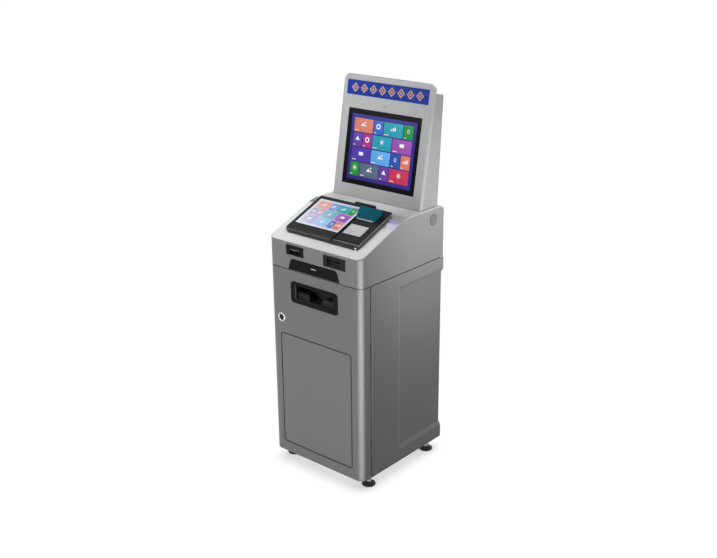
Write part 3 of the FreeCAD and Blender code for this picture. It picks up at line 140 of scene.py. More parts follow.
# %% Paint
class Paint:
    """One material and the nodes that make it."""

    def __init__(self, name):
        self.material = bpy.data.materials.new(name)
        self.material.use_nodes = True
        self.tree = self.material.node_tree
        self.tree.nodes.clear()
        self.output = self.tree.nodes.new("ShaderNodeOutputMaterial")
        self.where = self.node("ShaderNodeTexCoord", out="Object")

    def plug(self, socket, value):
        if isinstance(value, Value):
            self.tree.links.new(value.socket, socket)
        elif hasattr(socket.default_value, "__len__") and not hasattr(value, "__len__"):
            socket.default_value = (value,) * len(socket.default_value)
        elif hasattr(value, "__len__") and len(value) < len(socket.default_value):
            socket.default_value = tuple(value) + (1.0,)
        else:
            socket.default_value = value

    def node(self, kind, settings=None, inputs=(), out=0):
        made = self.tree.nodes.new(kind)
        for key, value in (settings or {}).items():
            setattr(made, key, value)
        pairs = inputs.items() if isinstance(inputs, dict) else enumerate(inputs)
        for key, value in pairs:
            if value is not None:
                self.plug(made.inputs[key], value)
        return Value(self, made.outputs[out])

    def noise(self, scale, detail=2.0, stretch=(1, 1, 1), rough=0.5):
        place = self.node("ShaderNodeMapping", inputs={"Vector": self.where, "Scale": stretch})
        return self.node("ShaderNodeTexNoise", inputs={"Vector": place, "Scale": scale,
                                                       "Detail": detail, "Roughness": rough})

    def mix(self, factor, first, second):
        """A colour: first where factor is 0, second where it is 1."""
        sockets = {0: factor, 6: first, 7: second}
        return self.node("ShaderNodeMix", {"data_type": "RGBA"}, sockets, 2)

    def axes(self):
        """Places along X, Y and Z, as three formulas."""
        split = self.node("ShaderNodeSeparateXYZ", inputs=(self.where,))
        return [Value(self, out) for out in split.socket.node.outputs]

    def edges(self, radius=0.0012, low=0.01, high=0.12):
        """1 on sharp outer edges, 0 on flats: a rounded normal compared with the true one."""
        soft = self.rounded(radius)
        true = self.node("ShaderNodeNewGeometry", out="Normal")
        same = self.node("ShaderNodeVectorMath", {"operation": "DOT_PRODUCT"}, (soft, true),
                         "Value")
        return (1.0 - same).fit(low, high)

    def open_air(self, distance, low=0.0, high=0.95):
        """1 where a point sees all round, 0 deep in a joint or corner."""
        air = self.node("ShaderNodeAmbientOcclusion", {"samples": 8}, {"Distance": distance}, "AO")
        return air.fit(low, high)

    def dust_and_painted_shade(self, base, radius, distance, depth=0.8):
        """Dust and painted shade: sharp rims and narrow joints are darkened towards near black."""
        broken = self.noise(70, 3.0).fit(0.1, 0.75) * 0.35 + 0.65
        # painted shade deep in narrow joints; with the rim mask below it is partly dust and partly
        # painted shade
        joint_shade = 1.0 - self.open_air(distance, 0.42, 0.88)
        dust_and_shade = (self.edges(radius, 0.04, 0.16) * broken).calc("MAXIMUM", joint_shade)
        return self.mix(dust_and_shade * depth, base, (0.012, 0.012, 0.012)), dust_and_shade

    def rounded(self, radius, samples=4):
        """A normal that turns softly round each edge."""
        return self.node("ShaderNodeBevel", {"samples": samples}, {"Radius": radius})

    def bump(self, height, strength, distance, normal=None):
        return self.node("ShaderNodeBump", inputs={"Height": height, "Strength": strength,
                                                   "Distance": distance, "Normal": normal})

    def done(self, **sockets):
        """Add the shader, with socket names written as words_with_underscores."""
        shader = self.node("ShaderNodeBsdfPrincipled")
        for key, value in sockets.items():
            self.plug(shader.socket.node.inputs[key.replace("_", " ")], value)
        self.tree.links.new(shader.socket, self.output.inputs["Surface"])
        return self.material


def shade(colour, factor):
    """A colour made darker or lighter by a factor."""
    return tuple(min(1.0, part * factor) for part in colour)


print("paint can make", [name for name in vars(Paint) if not name.startswith("__")])

# %% [markdown]
# Powder coat on folded sheet steel. A sprayed and baked coat is never flat: it has fine orange
# peel and a slight drift in tone from sheet to sheet. Every seam of such a cabinet reads as a dark
# line, partly from dust along its rims and in the joints and partly from shade, which is painted
# here. Noise at three sizes gives the coat, and two masks, one for rims and one for narrow gaps,
# give the dark seams as dust and painted shade.
# The side panels are folded with a wide radius, and their front edge rolls in towards the door over
# the last 16 mm. That roll is too shallow to be worth a mesh, so a height that grows with the
# square of the distance turns the normal there and catches the light in a soft upright line.

# %% Powder coat
ROLL_LENGTH, ROLL_SLOPE = 0.016, 1.1
SIDE_START = -0.2035           # front edge of the side panels, along Y


def powder_coat(name, colour, roughness=0.40, grain=1.0, metallic=0.10, fold=0.0008, roll=None):
    """roll is the place along Y where a sheet's front edge starts to turn in."""
    paint = Paint(name)
    drift = paint.noise(1.7, 3.0, (1, 1, 0.5)).fit(0.3, 0.7)
    speck = paint.noise(900, 2.0).fit(0.3, 0.7)
    peel = paint.noise(420, 2.0)
    base = paint.mix(drift, shade(colour, 0.965), shade(colour, 1.03))
    base = paint.mix(speck * 0.16 * grain, base, shade(colour, 1.25))
    # dust and painted shade darken the rims and the joints between the sheets
    base, dust_and_shade = paint.dust_and_painted_shade(base, 0.0028, 0.006)
    rough = paint.noise(35, 4.0).fit(0.25, 0.75) * 0.08 + (roughness - 0.04) + dust_and_shade * 0.35
    soft = paint.rounded(fold, 6)
    if roll is not None:
        x, y, z = paint.axes()
        short = (roll + ROLL_LENGTH - y).calc("MAXIMUM", 0.0)
        soft = paint.bump(short ** 2.0 * (-0.5 * ROLL_SLOPE / ROLL_LENGTH), 1.0, 1.0, soft)
    return paint.done(Base_Color=base, Roughness=rough, Metallic=metallic, Specular_IOR_Level=0.2,
                      Normal=paint.bump(peel, 0.10 * grain, 0.0004, soft))


door_paint = powder_coat("door_paint", (0.225, 0.226, 0.227))
panel_paint = powder_coat("panel_paint", (0.232, 0.233, 0.234))
side_paint = powder_coat("side_paint", (0.258, 0.259, 0.260), metallic=0.0, fold=0.006,
                         roll=SIDE_START)
rear_paint = powder_coat("rear_paint", (0.225, 0.226, 0.227), metallic=0.05)
print("powder coats", [paint.name for paint in (door_paint, panel_paint, side_paint, rear_paint)])

# %% [markdown]
# The head is sprayed in the same grey, but its desk is a paler, smoother silver that mirrors what
# stands on it. Head and desk are one bent sheet, so one material serves both: the border follows
# the bend at the front edge, and the mask is made from height and depth in the kiosk's own frame.
# The desk has painted light and shade: its slope is painted brighter to the left, its flat top
# darker to the right, and painted shade darkens it close to the terminal's case.
# The monitor's plate has a fine brushed silver look, with its lines running up the face, made from
# noise that is stretched a long way in one direction.

# %% Head and monitor finishes
BEND = (-0.0012, -0.0004)      # how far below the desk's surface its silver starts and is full


def head_coat(name, body_colour, desk_colour):
    paint = Paint(name)
    x, y, z = paint.axes()
    over_slope = z - SILL - (y - FRONT) * math.tan(SLOPE)
    slope = over_slope.fit(*BEND)
    desk = slope.calc("MAXIMUM", (z - HEAD_TOP).fit(*BEND))
    drift = paint.noise(2.1, 3.0).fit(0.3, 0.7)
    speck = paint.noise(900, 2.0).fit(0.3, 0.7)
    body = paint.mix(drift, shade(body_colour, 0.97), shade(body_colour, 1.03))
    top = paint.mix(drift, shade(desk_colour, 0.98), shade(desk_colour, 1.02))
    # painted light: the desk's slope is painted brighter towards the left
    top = paint.mix(x.fit(-0.02, -0.20) * slope, top, shade(desk_colour, 1.22))
    # painted shade: the desk's flat top is painted darker towards the right
    top = paint.mix(x.fit(0.04, 0.20) * (1.0 - slope), top, shade(desk_colour, 0.52))
    # painted shade: the slope darkens towards black close to the terminal's case and whatever
    # stands on it
    painted_contact_shade = (1.0 - paint.open_air(0.030, 0.50, 0.97)) * slope
    top = paint.mix(painted_contact_shade, top, shade(desk_colour, 0.12))
    base = paint.mix(desk, body, top)
    base = paint.mix(speck * 0.10, base, (0.9, 0.9, 0.9))
    # dust and painted shade along the rims and in the joints of the head
    base, dust_and_shade = paint.dust_and_painted_shade(base, 0.0028, 0.006, 0.75)
    rough = paint.noise(35, 4.0).fit(0.25, 0.75) * 0.06 + 0.40 - slope * 0.27 + dust_and_shade * 0.3
    peel = paint.noise(420, 2.0)
    return paint.done(Base_Color=base, Roughness=rough, Metallic=slope * 0.84 + 0.10,
                      Specular_IOR_Level=0.2, Normal=paint.bump(peel, 0.08, 0.0004))


def brushed_silver(name, colour, lines=1.0):
    paint = Paint(name)
    streak = paint.noise(260, 4.0, (1, 0.06, 0.02), 0.6).fit(0.3, 0.7)
    fleck = paint.noise(1500, 1.0).fit(0.35, 0.65)
    worn = paint.edges() * 0.4
    base = paint.mix(streak * lines, shade(colour, 0.93), shade(colour, 1.06))
    base = paint.mix(fleck * 0.18, base, shade(colour, 1.3))
    base = paint.mix(worn, base, shade(colour, 1.25))
    # dust and painted shade along the rims and in the joints of the monitor
    base, dust_and_shade = paint.dust_and_painted_shade(base, 0.0006, 0.006, 0.85)
    rough = streak * 0.07 + 0.42 + dust_and_shade * 0.3
    soft = paint.rounded(0.001)
    return paint.done(Base_Color=base, Roughness=rough, Metallic=0.12, Specular_IOR_Level=0.25,
                      Normal=paint.bump(streak, 0.05, 0.0003, soft))


head_paint = head_coat("head_paint", (0.230, 0.231, 0.232), (0.62, 0.62, 0.625))
cap_paint = powder_coat("cap_paint", (0.165, 0.166, 0.167))
monitor_paint = brushed_silver("monitor_paint", (0.37, 0.37, 0.375))
shell_paint = brushed_silver("shell_paint", (0.31, 0.31, 0.314), 0.5)
print("silvers", [paint.name for paint in (head_paint, cap_paint, monitor_paint, shell_paint)])

# %% [markdown]
# Metals. One plain grey would look like paint, because a metal is known by its marks. Zinc plate on
# the frames shows crystals as soft patches of lighter and darker grey, which is what a cell texture
# gives. Chrome on the lock rings is nearly even, with a few fine marks, and
# a turned key barrel has rings about its axis: the sine of the distance from the axis.

# %% Metals
def zinc_plate(name, colour=(0.56, 0.57, 0.58)):
    paint = Paint(name)
    spangle = paint.node("ShaderNodeTexVoronoi", {"feature": "F1"},
                         {"Vector": paint.where, "Scale": 90.0}, "Color")
    grey = paint.node("ShaderNodeRGBToBW", inputs=(spangle,))
    brush = paint.noise(300, 3.0, (0.08, 0.08, 1))
    base = paint.mix(grey.fit(0.1, 0.9), shade(colour, 0.86), shade(colour, 1.1))
    # dust and painted shade along the rims and in the joints of the frames
    base, dust_and_shade = paint.dust_and_painted_shade(base, 0.0008, 0.012)
    rough = grey * 0.12 + brush * 0.1 + 0.24
    return paint.done(Base_Color=base, Roughness=rough, Metallic=0.9,
                      Normal=paint.bump(brush, 0.06, 0.0003))


def polished(name, colour, roughness, marks=0.1):
    paint = Paint(name)
    smear = paint.noise(80, 5.0, (1, 1, 0.3)).fit(0.45, 0.8)
    fine = paint.noise(1200, 2.0)
    base = paint.mix(smear, colour, shade(colour, 0.82))
    return paint.done(Base_Color=base, Roughness=smear * marks + roughness, Metallic=1.0,
                      Normal=paint.bump(fine, 0.03, 0.0002))


def turned_steel(name, colour, centre, pitch):
    """Rings about an axis along Y through centre (x, z)."""
    paint = Paint(name)
    x, y, z = paint.axes()
    reach = ((x - centre[0]) ** 2.0 + (z - centre[1]) ** 2.0) ** 0.5
    rings = (reach * (2 * math.pi / pitch)).calc("SINE") * 0.5 + 0.5
    smear = paint.noise(120, 3.0)
    base = paint.mix(rings * 0.5, colour, shade(colour, 0.7))
    return paint.done(Base_Color=base, Roughness=smear * 0.15 + 0.28, Metallic=1.0,
                      Normal=paint.bump(rings, 0.15, 0.0002))


frame_zinc = zinc_plate("frame_zinc")
chrome = polished("chrome", (0.62, 0.63, 0.64), 0.10)
screw_steel = polished("screw_steel", (0.55, 0.56, 0.57), 0.25, 0.15)
FRONT_LOCK, REAR_LOCK = (-0.183, 0.666), (0.186, 0.468)
TURNING_PITCH = 0.0012
front_key = turned_steel("front_key_barrel", (0.030, 0.030, 0.032), FRONT_LOCK, TURNING_PITCH)
rear_key = turned_steel("rear_key_barrel", (0.24, 0.24, 0.245), REAR_LOCK, TURNING_PITCH)
print("metals", [metal.name for metal in (frame_zinc, chrome, screw_steel, front_key, rear_key)])

# %% [markdown]
# Moulded plastics. A spark-eroded tool leaves a fine grain, so the bump is a small cell pattern.
# Edges are painted a touch lighter, partly as the polish of handling and partly as a painted
# highlight. The tray's surround has sloped walls that are painted paler as a highlight, so its
# finish takes a stretch along Y. Glass and gloss panels have no grain, only faint wipe marks and
# dust.

# %% Plastics and rubber
MOULDED_EDGE = 0.0006          # how round an edge of a moulding looks


def moulded(name, colour, roughness=0.5, grain=0.25, worn=0.25, shine=0.18, slopes=None):
    """slopes is a stretch along Y where the walls are painted paler, a painted highlight."""
    paint = Paint(name)
    cells = paint.node("ShaderNodeTexVoronoi", {"feature": "SMOOTH_F1"},
                       {"Vector": paint.where, "Scale": 1300.0}, "Distance")
    drift = paint.noise(9, 3.0).fit(0.3, 0.7)
    if slopes:
        x, y, z = paint.axes()
        sunk = (y > slopes[0]) * (y < slopes[1])
    # edges painted a touch lighter: partly wear from handling, partly a painted highlight
    rubbed_and_lit_edges = paint.edges(0.001) * worn
    base = paint.mix(drift, shade(colour, 0.88), shade(colour, 1.12))
    if slopes:
        # painted highlight: the tray's sloped walls are painted over three times lighter
        base = paint.mix(sunk, base, shade(colour, 3.2))
    base = paint.mix(rubbed_and_lit_edges, base, tuple(part + 0.08 for part in colour))
    rough = paint.noise(50, 3.0) * 0.12 + (roughness - 0.06)
    soft = paint.rounded(MOULDED_EDGE)
    return paint.done(Base_Color=base, Roughness=rough, Specular_IOR_Level=shine,
                      Normal=paint.bump(cells, grain, 0.0003, soft))


def gloss_panel(name, colour, roughness=0.12, shine=0.2):
    paint = Paint(name)
    wipe = paint.noise(14, 4.0, (1, 1, 3)).fit(0.4, 0.75)
    dust = paint.noise(700, 2.0).fit(0.68, 0.8)
    base = paint.mix(wipe * 0.5, colour, shade(colour, 1.25))
    base = paint.mix(dust * 0.05, base, (0.4, 0.4, 0.4))
    soft = paint.rounded(MOULDED_EDGE)
    return paint.done(Base_Color=base, Roughness=wipe * 0.10 + roughness, Specular_IOR_Level=shine,
                      Normal=paint.bump(wipe, 0.01, 0.0005, soft))


black_plastic = moulded("black_plastic", (0.0075, 0.0075, 0.008), 0.42, shine=0.06)
grey_plastic = moulded("grey_plastic", (0.060, 0.061, 0.062), 0.5)
tray_plastic = moulded("tray_plastic", (0.020, 0.020, 0.021), 0.45, shine=0.08)
tray_frame = moulded("tray_frame", (0.0060, 0.0060, 0.0064), 0.42, 0.25, 0.35, 0.06,
                     (FRONT - 0.0024, FRONT + 0.0030))
device_plastic = moulded("device_plastic", (0.42, 0.42, 0.41), 0.55)
bar_plastic = moulded("bar_plastic", (0.30, 0.335, 0.31), 0.5, 0.1)
dark_sheet = powder_coat("dark_sheet", (0.10, 0.105, 0.11))
black_glass = gloss_panel("black_glass", (0.004, 0.004, 0.0065), 0.10, 0.05)
mouth_gloss = gloss_panel("mouth_gloss", (0.007, 0.007, 0.008), 0.34, 0.06)
foot_rubber = moulded("foot_rubber", (0.014, 0.014, 0.014), 0.7, 0.6, 0.1)
paper_white = moulded("paper_white", (0.82, 0.82, 0.79), 0.8, 0.05, 0.0)
print("plastics ready,", len(bpy.data.materials), "materials so far")

# %% [markdown]
# Finishes that belong to the desk terminal. Its black slabs are satin, with a thin paler line
# painted as a highlight where two mouldings meet, and their edges painted lighter as highlights.
# The case below stands on a silver foot and carries a thin bright strip on its right edge, and the
# cable cover ends in a bright stud. Each is one moulding with the piece it sits on, so a mask by
# place, measured off the desk, switches colour, metal and gloss.

# %% Slabs and case of the terminal
def off_desk(paint):
    """Height off the desk's slope, as a formula of the place."""
    x, y, z = paint.axes()
    return (z - SILL) * math.cos(SLOPE) - (y - FRONT) * math.sin(SLOPE)


def part_metal(name, colour, side, limit, foot=None):
    """Dark plastic, but bright metal beyond a limit along X: side 1 is above it, -1 below it.
    Below foot, measured off the desk, the moulding is silver."""
    paint = Paint(name)
    x, y, z = paint.axes()
    metal = ((x - limit) * side).fit(0.0, 0.0001)
    cells = paint.noise(1300, 2.0)
    # edges painted lighter: partly wear from handling, partly a painted highlight
    rubbed_and_lit_edges = paint.edges(0.001) * 0.4
    base = paint.mix(rubbed_and_lit_edges, colour, tuple(part + 0.10 for part in colour))
    if foot is not None:
        silver = (foot - off_desk(paint)).fit(0.0, 0.0006)
        base = paint.mix(silver, base, (0.26, 0.26, 0.265))
    base = paint.mix(metal, base, (0.50, 0.51, 0.52))
    soft = paint.rounded(MOULDED_EDGE)
    return paint.done(Base_Color=base, Roughness=0.34 - metal * 0.2, Metallic=metal,
                      Specular_IOR_Level=0.12, Normal=paint.bump(cells, 0.1, 0.0003, soft))


def slab_satin(name, colour, line_at):
    """Satin black with a thin pale line painted at a height off the desk where two mouldings meet,
    on the walls only, as a painted highlight; its edges are painted lighter as highlights too.
    """
    paint = Paint(name)
    height = off_desk(paint)
    line = (height - line_at).calc("ABSOLUTE") < 0.0006
    cells = paint.noise(1300, 2.0)
    wipe = paint.noise(22, 4.0, (1, 1, 2)).fit(0.4, 0.75)
    base = paint.mix(wipe, shade(colour, 0.85), shade(colour, 1.25))
    # painted highlight: the sharp edges are painted a pale grey
    base = paint.mix(paint.edges(0.0012) * 0.8, base, (0.15, 0.15, 0.155))
    # painted highlight: the thin pale line where two mouldings meet
    base = paint.mix(line * 0.8, base, (0.20, 0.20, 0.205))
    soft = paint.rounded(MOULDED_EDGE)
    return paint.done(Base_Color=base, Roughness=wipe * 0.1 + 0.30, Specular_IOR_Level=0.12,
                      Normal=paint.bump(cells, 0.08, 0.0003, soft))


case_finish = part_metal("case_finish", (0.010, 0.010, 0.011), 1, 0.18105, 0.0014)
slab_finish = slab_satin("slab_finish", (0.009, 0.009, 0.010), 0.0098)
cover_finish = part_metal("cable_cover_finish", (0.014, 0.014, 0.015), -1, -0.0121)
print("terminal's blacks", [made.name for made in (case_finish, slab_finish, cover_finish)])

# %% [markdown]
# The slip printer's lid is tinted teal with fine moulded lines, and its edges are painted a paler
# teal as a highlight; the card pad beside it is pale, with a ruled square and rings about its
# middle that show where a card is held. Lines at a fixed pitch are the sine of a distance, so no
# picture file is needed.

# %% Printer lid and card pad
LID_CENTRE, LID_HALF = 0.105, 0.0512
LID_LINES = 0.0042             # pitch of the moulded lines
PAD_U, PAD_V = 0.1085, 0.143   # middle of the card pad, on the desk
PAD_SQUARE = (0.036, 0.0225)   # half the ruled square's sides
PAD_RINGS, PAD_REACH = 576.0, 0.018


def lid_tint(name):
    """Teal over the top, with nearly black end walls, and edges painted a paler teal as a
    highlight.
    """
    paint = Paint(name)
    x, y, z = paint.axes()
    run = y * math.cos(SLOPE) + z * math.sin(SLOPE)
    ribs = (run * (2 * math.pi / LID_LINES)).calc("SINE").fit(0.1, 0.9)
    drift = paint.noise(26, 3.0).fit(0.3, 0.7)
    base = paint.mix(drift, (0.002, 0.082, 0.125), (0.003, 0.105, 0.155))
    base = paint.mix(ribs * 0.35, base, (0.002, 0.035, 0.055))
    # painted highlight: the lid's edges are painted a paler teal
    base = paint.mix(paint.edges(0.001) * 0.5, base, (0.012, 0.20, 0.26))
    end_walls = (x - LID_CENTRE).calc("ABSOLUTE") > LID_HALF
    base = paint.mix(end_walls, base, (0.004, 0.022, 0.030))
    return paint.done(Base_Color=base, Roughness=drift * 0.1 + 0.38, Specular_IOR_Level=0.05,
                      Normal=paint.bump(ribs, 0.12, 0.0004))


def pad_finish(name):
    paint = Paint(name)
    x, y, z = paint.axes()
    across = x - PAD_U
    up = (y - FRONT) * math.cos(SLOPE) + (z - SILL) * math.sin(SLOPE) - PAD_V
    past_u = across.calc("ABSOLUTE") - PAD_SQUARE[0]
    past_v = up.calc("ABSOLUTE") - PAD_SQUARE[1]
    square = past_u.calc("MAXIMUM", past_v).calc("ABSOLUTE") < 0.0007
    away = (across ** 2.0 + up ** 2.0) ** 0.5
    rings = (away * PAD_RINGS).calc("SINE").fit(0.82, 0.95) * (away < PAD_REACH)
    drift = paint.noise(40, 3.0).fit(0.3, 0.7)
    base = paint.mix(drift, (0.54, 0.54, 0.525), (0.60, 0.60, 0.585))
    base = paint.mix((square + rings * 0.6).fit(0, 1) * 0.4, base, (0.36, 0.36, 0.36))
    fine = paint.noise(1100, 2.0)
    return paint.done(Base_Color=base, Roughness=0.45, Normal=paint.bump(fine, 0.1, 0.0003))


teal_lid = lid_tint("teal_lid")
card_pad = pad_finish("card_pad")
print("lid and pad", teal_lid.name, card_pad.name)

# %% [markdown]
# Each CAD solid already has its right shape, so it only takes a finish here. A node's mesh stays as
# it was packed; only its material slot is filled anew.

# %% Finishes on the solids
def dress(name, finish):
    """Give a CAD solid its finish."""
    nodes[name].data.materials.clear()
    nodes[name].data.materials.append(finish)


FINISHES = {
    door_paint: ["front_door"],
    panel_paint: ["door_panel"],
    side_paint: ["side_panel_left", "side_panel_right"],
    rear_paint: ["rear_door", "head_rear_panel"],
    head_paint: ["head_shell"],
    cap_paint: ["side_caps"],
    monitor_paint: ["monitor_front"],
    shell_paint: ["monitor_shell", "monitor_rear_cover"],
    frame_zinc: ["base_pan", "front_frame", "rear_frame", "top_deck", "printer_shelf",
                 "lock_keeper", "front_hinge_leaves", "rear_hinge_leaves"],
    chrome: ["door_lock_ring", "rear_lock_ring", "terminal_button"],
    front_key: ["door_lock_cylinder"],
    rear_key: ["rear_lock_cylinder"],
    tray_frame: ["tray_bezel"],
    black_plastic: ["card_reader_bezel", "slip_printer_base", "power_inlet",
                    "power_switch", "pc_fan"],
    mouth_gloss: ["mouth_bezel", "mouth_flap"],
    grey_plastic: ["card_reader_body", "dip_reader_body", "document_feeder"],
    tray_plastic: ["tray_bin", "dip_reader_bezel"],
    device_plastic: ["document_printer"],
    dark_sheet: ["pc_case", "power_box", "lcd_module"],
    slab_finish: ["tablet_body", "terminal_cover"],
    bar_plastic: ["tear_bar"],
    case_finish: ["terminal_case"],
    cover_finish: ["cable_cover"],
    teal_lid: ["slip_printer_lid"],
    card_pad: ["id_card_pad"],
    black_glass: ["screen_surround", "camera_lens"],
    foot_rubber: ["platen_roller"],
    paper_white: ["paper_roll"],
}
for finish, names in FINISHES.items():
    for name in names:
        dress(name, finish)
print("finished", sum(len(names) for names in FINISHES.values()), "solids")

# %% [markdown]
# A new piece starts as a mesh with its place in its points, as the CAD solids have it. It gets a
# material and rides on a body of the model, so that it moves with that body's joint.

# %% New pieces
def new_piece(name, data, material, body):
    if material is not None:
        data.materials.append(material)
    made = bpy.data.objects.new(name, data)
    bpy.context.scene.collection.objects.link(made)
    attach(made, body)
    print(name, len(data.polygons), "faces on", body)
    return made


def mesh_data(name, mesh):
    """Turn a bmesh into plain mesh data and let go of it."""
    data = bpy.data.meshes.new(name)
    mesh.to_mesh(data)
    mesh.free()
    return data


# %% [markdown]
# The pictures on the screens and the sign could be image files, but flat shapes laid on each other
# a hair apart keep every edge sharp at any distance. Each shape keeps its colour in an attribute
# of its own faces, so one glowing material serves a whole picture.

# %% Glowing material
def glow(name, strength, gloss=0.15, painted_reflection=None):
    """The optional function gives, from a paint, how far each place is washed out by a painted
    reflection.
    """
    paint = Paint(name)
    tint = paint.node("ShaderNodeAttribute", {"attribute_name": "tint"}, out="Color")
    fine = paint.noise(2200, 1.0).fit(0.3, 0.7)
    lit = paint.mix(fine * 0.06, tint, (0.0, 0.0, 0.0))
    if painted_reflection is not None:
        # painted reflection: the picture is washed towards a pale blue white, in its glow as well
        lit = paint.mix(painted_reflection(paint), lit, (0.80, 0.82, 0.90))
    base = paint.mix(0.92, lit, (0.0, 0.0, 0.0)) if strength > 0 else lit
    return paint.done(Base_Color=base, Emission_Color=lit, Emission_Strength=strength,
                      Roughness=gloss, Specular_IOR_Level=0.2)


def srgb(text):
    """A hex colour as the linear values that shaders use."""
    parts = [int(text[k:k + 2], 16) / 255 for k in (0, 2, 4)]
    return tuple((c / 12.92 if c <= 0.04045 else ((c + 0.055) / 1.055) ** 2.4) for c in parts)


print("a middle grey is", round(srgb("808080")[0], 3), "to a shader")

# %% [markdown]
# Picture collects the shapes. Its place function says which face it lies on, and lift moves to the
# next layer, so that no two shapes lie in one plane and flicker.

# %% Flat pictures
class Picture:
    """Flat shapes in (u, v) metres; each later one lies a little further out."""

    def __init__(self, name, place, step=0.00004, start=0.0001):
        self.name, self.place, self.step, self.height = name, place, step, start
        self.mesh = bmesh.new()
        self.tint = self.mesh.loops.layers.float_color.new("tint")

    def shape(self, points, colours):
        """colours is one colour, or one for each point."""
        if not hasattr(colours[0], "__len__"):
            colours = [colours] * len(points)
        verts = [self.mesh.verts.new(self.place(u, v, self.height)) for u, v in points]
        face = self.mesh.faces.new(verts)
        for loop, colour in zip(face.loops, colours):
            loop[self.tint] = tuple(colour) + (1.0,)

    def lift(self):
        self.height += self.step

    def bar(self, u0, v0, u1, v1, colours):
        self.shape([(u0, v0), (u1, v0), (u1, v1), (u0, v1)], colours)

    def disc(self, u, v, radius, colour, sides=28):
        angles = [2 * math.pi * k / sides for k in range(sides)]
        self.shape([(u + radius * math.cos(a), v + radius * math.sin(a)) for a in angles], colour)

    def ring(self, u, v, radius, inner, colour, sides=28, start=0.0, turn=1.0):
        """A ring of flat sides, or a part that starts at an angle and covers a share of a turn."""
        for k in range(sides):
            a0 = start + 2 * math.pi * turn * k / sides
            a1 = start + 2 * math.pi * turn * (k + 1) / sides
            self.shape([(u + inner * math.cos(a0), v + inner * math.sin(a0)),
                        (u + radius * math.cos(a0), v + radius * math.sin(a0)),
                        (u + radius * math.cos(a1), v + radius * math.sin(a1)),
                        (u + inner * math.cos(a1), v + inner * math.sin(a1))], colour)

    def done(self, material, body, slot):
        return new_piece(self.name, mesh_data(self.name, self.mesh), material, body)


print("a picture can hold", [name for name in vars(Picture) if not name.startswith("__")])

# %% [markdown]
# The start picture is a plain tile menu of our own: a few tile sizes in a fixed order, each with a
# simple sign such as a ring, bars or a hill. A row of the table below is a tile's colour, column,
# row, width and height in steps, and its sign.

# %% Tiles and their signs
WHITE = (0.9, 0.9, 0.93)
TILE_COLOURS = {"cyan": srgb("1a9aae"), "violet": srgb("643c9e"), "blue": srgb("2c69c6"),
                "green": srgb("128c34"), "coral": srgb("d97a66"), "magenta": srgb("a8288f"),
                "indigo": srgb("4a34a6"), "sky": srgb("5aa6e6"), "plum": srgb("9a4bb0"),
                "navy": srgb("1c4fae"), "red": srgb("c42f52"), "slate": srgb("56657c")}
MENU = [("coral", 0, 0, 2, 1, "hill"), ("blue", 2, 0, 1, 1, "ring"), ("cyan", 3, 0, 2, 1, "bars"),
        ("green", 5, 0, 1, 1, "leaf"), ("violet", 0, 1, 1, 1, "rise"),
        ("magenta", 1, 1, 1, 1, "ring"), ("cyan", 2, 1, 2, 1, "sun"),
        ("plum", 4, 1, 2, 1, "card"), ("indigo", 0, 2, 2, 1, "card"),
        ("sky", 2, 2, 2, 1, "hill"), ("navy", 4, 2, 1, 1, "leaf"), ("coral", 5, 2, 1, 1, "bars"),
        ("green", 0, 3, 1, 1, "sun"), ("slate", 1, 3, 2, 1, "hill"), ("violet", 3, 3, 1, 1, "rise"),
        ("red", 4, 3, 2, 1, "sun")]
MENU_COLUMNS = 6


def tile_sign(picture, kind, u, v, size):
    """A simple sign about the point (u, v)."""
    if kind == "ring":
        picture.ring(u, v, size, size * 0.55, WHITE)
    elif kind == "bars":
        for k, tall in enumerate((0.6, 1.0, 1.4)):
            left = u + (k - 1.35) * size * 0.8
            picture.bar(left, v - size * 0.7, left + size * 0.55, v + size * (tall - 0.7), WHITE)
    elif kind == "leaf":
        picture.ring(u - size * 0.5, v, size, size * 0.8, WHITE, 12, -0.9, 0.28)
        picture.ring(u + size * 0.5, v, size, size * 0.8, WHITE, 12, math.pi - 0.9, 0.28)
    elif kind == "rise":
        low = v - size * 0.6
        picture.shape([(u - size, low), (u + size, low), (u, v + size)], WHITE)
    elif kind == "sun":
        picture.disc(u, v, size * 0.5, WHITE, 20)
        for k in range(8):
            picture.ring(u, v, size, size * 0.7, WHITE, 1, k * math.pi / 4 - 0.12, 0.04)
    elif kind == "card":
        picture.bar(u - size, v - size * 0.62, u + size, v + size * 0.62, WHITE)
    elif kind == "hill":
        picture.disc(u + size * 0.7, v + size * 0.7, size * 0.34, WHITE, 16)
        picture.shape([(u - size * 1.3, v - size * 0.7), (u + size * 0.7, v - size * 0.7),
                       (u - size * 0.3, v + size * 0.6)], WHITE)
        picture.shape([(u + size * 0.1, v - size * 0.7), (u + size * 1.5, v - size * 0.7),
                       (u + size * 0.8, v + size * 0.1)], shade(WHITE, 0.75))


print("menu", len(MENU), "tiles in", len(TILE_COLOURS), "colours")

# %% [markdown]
# One function draws the menu at any size, so both screens show the same one, as they would on such
# a kiosk. The ground comes first, the tiles lie on it, and the signs and short bars on the tiles.

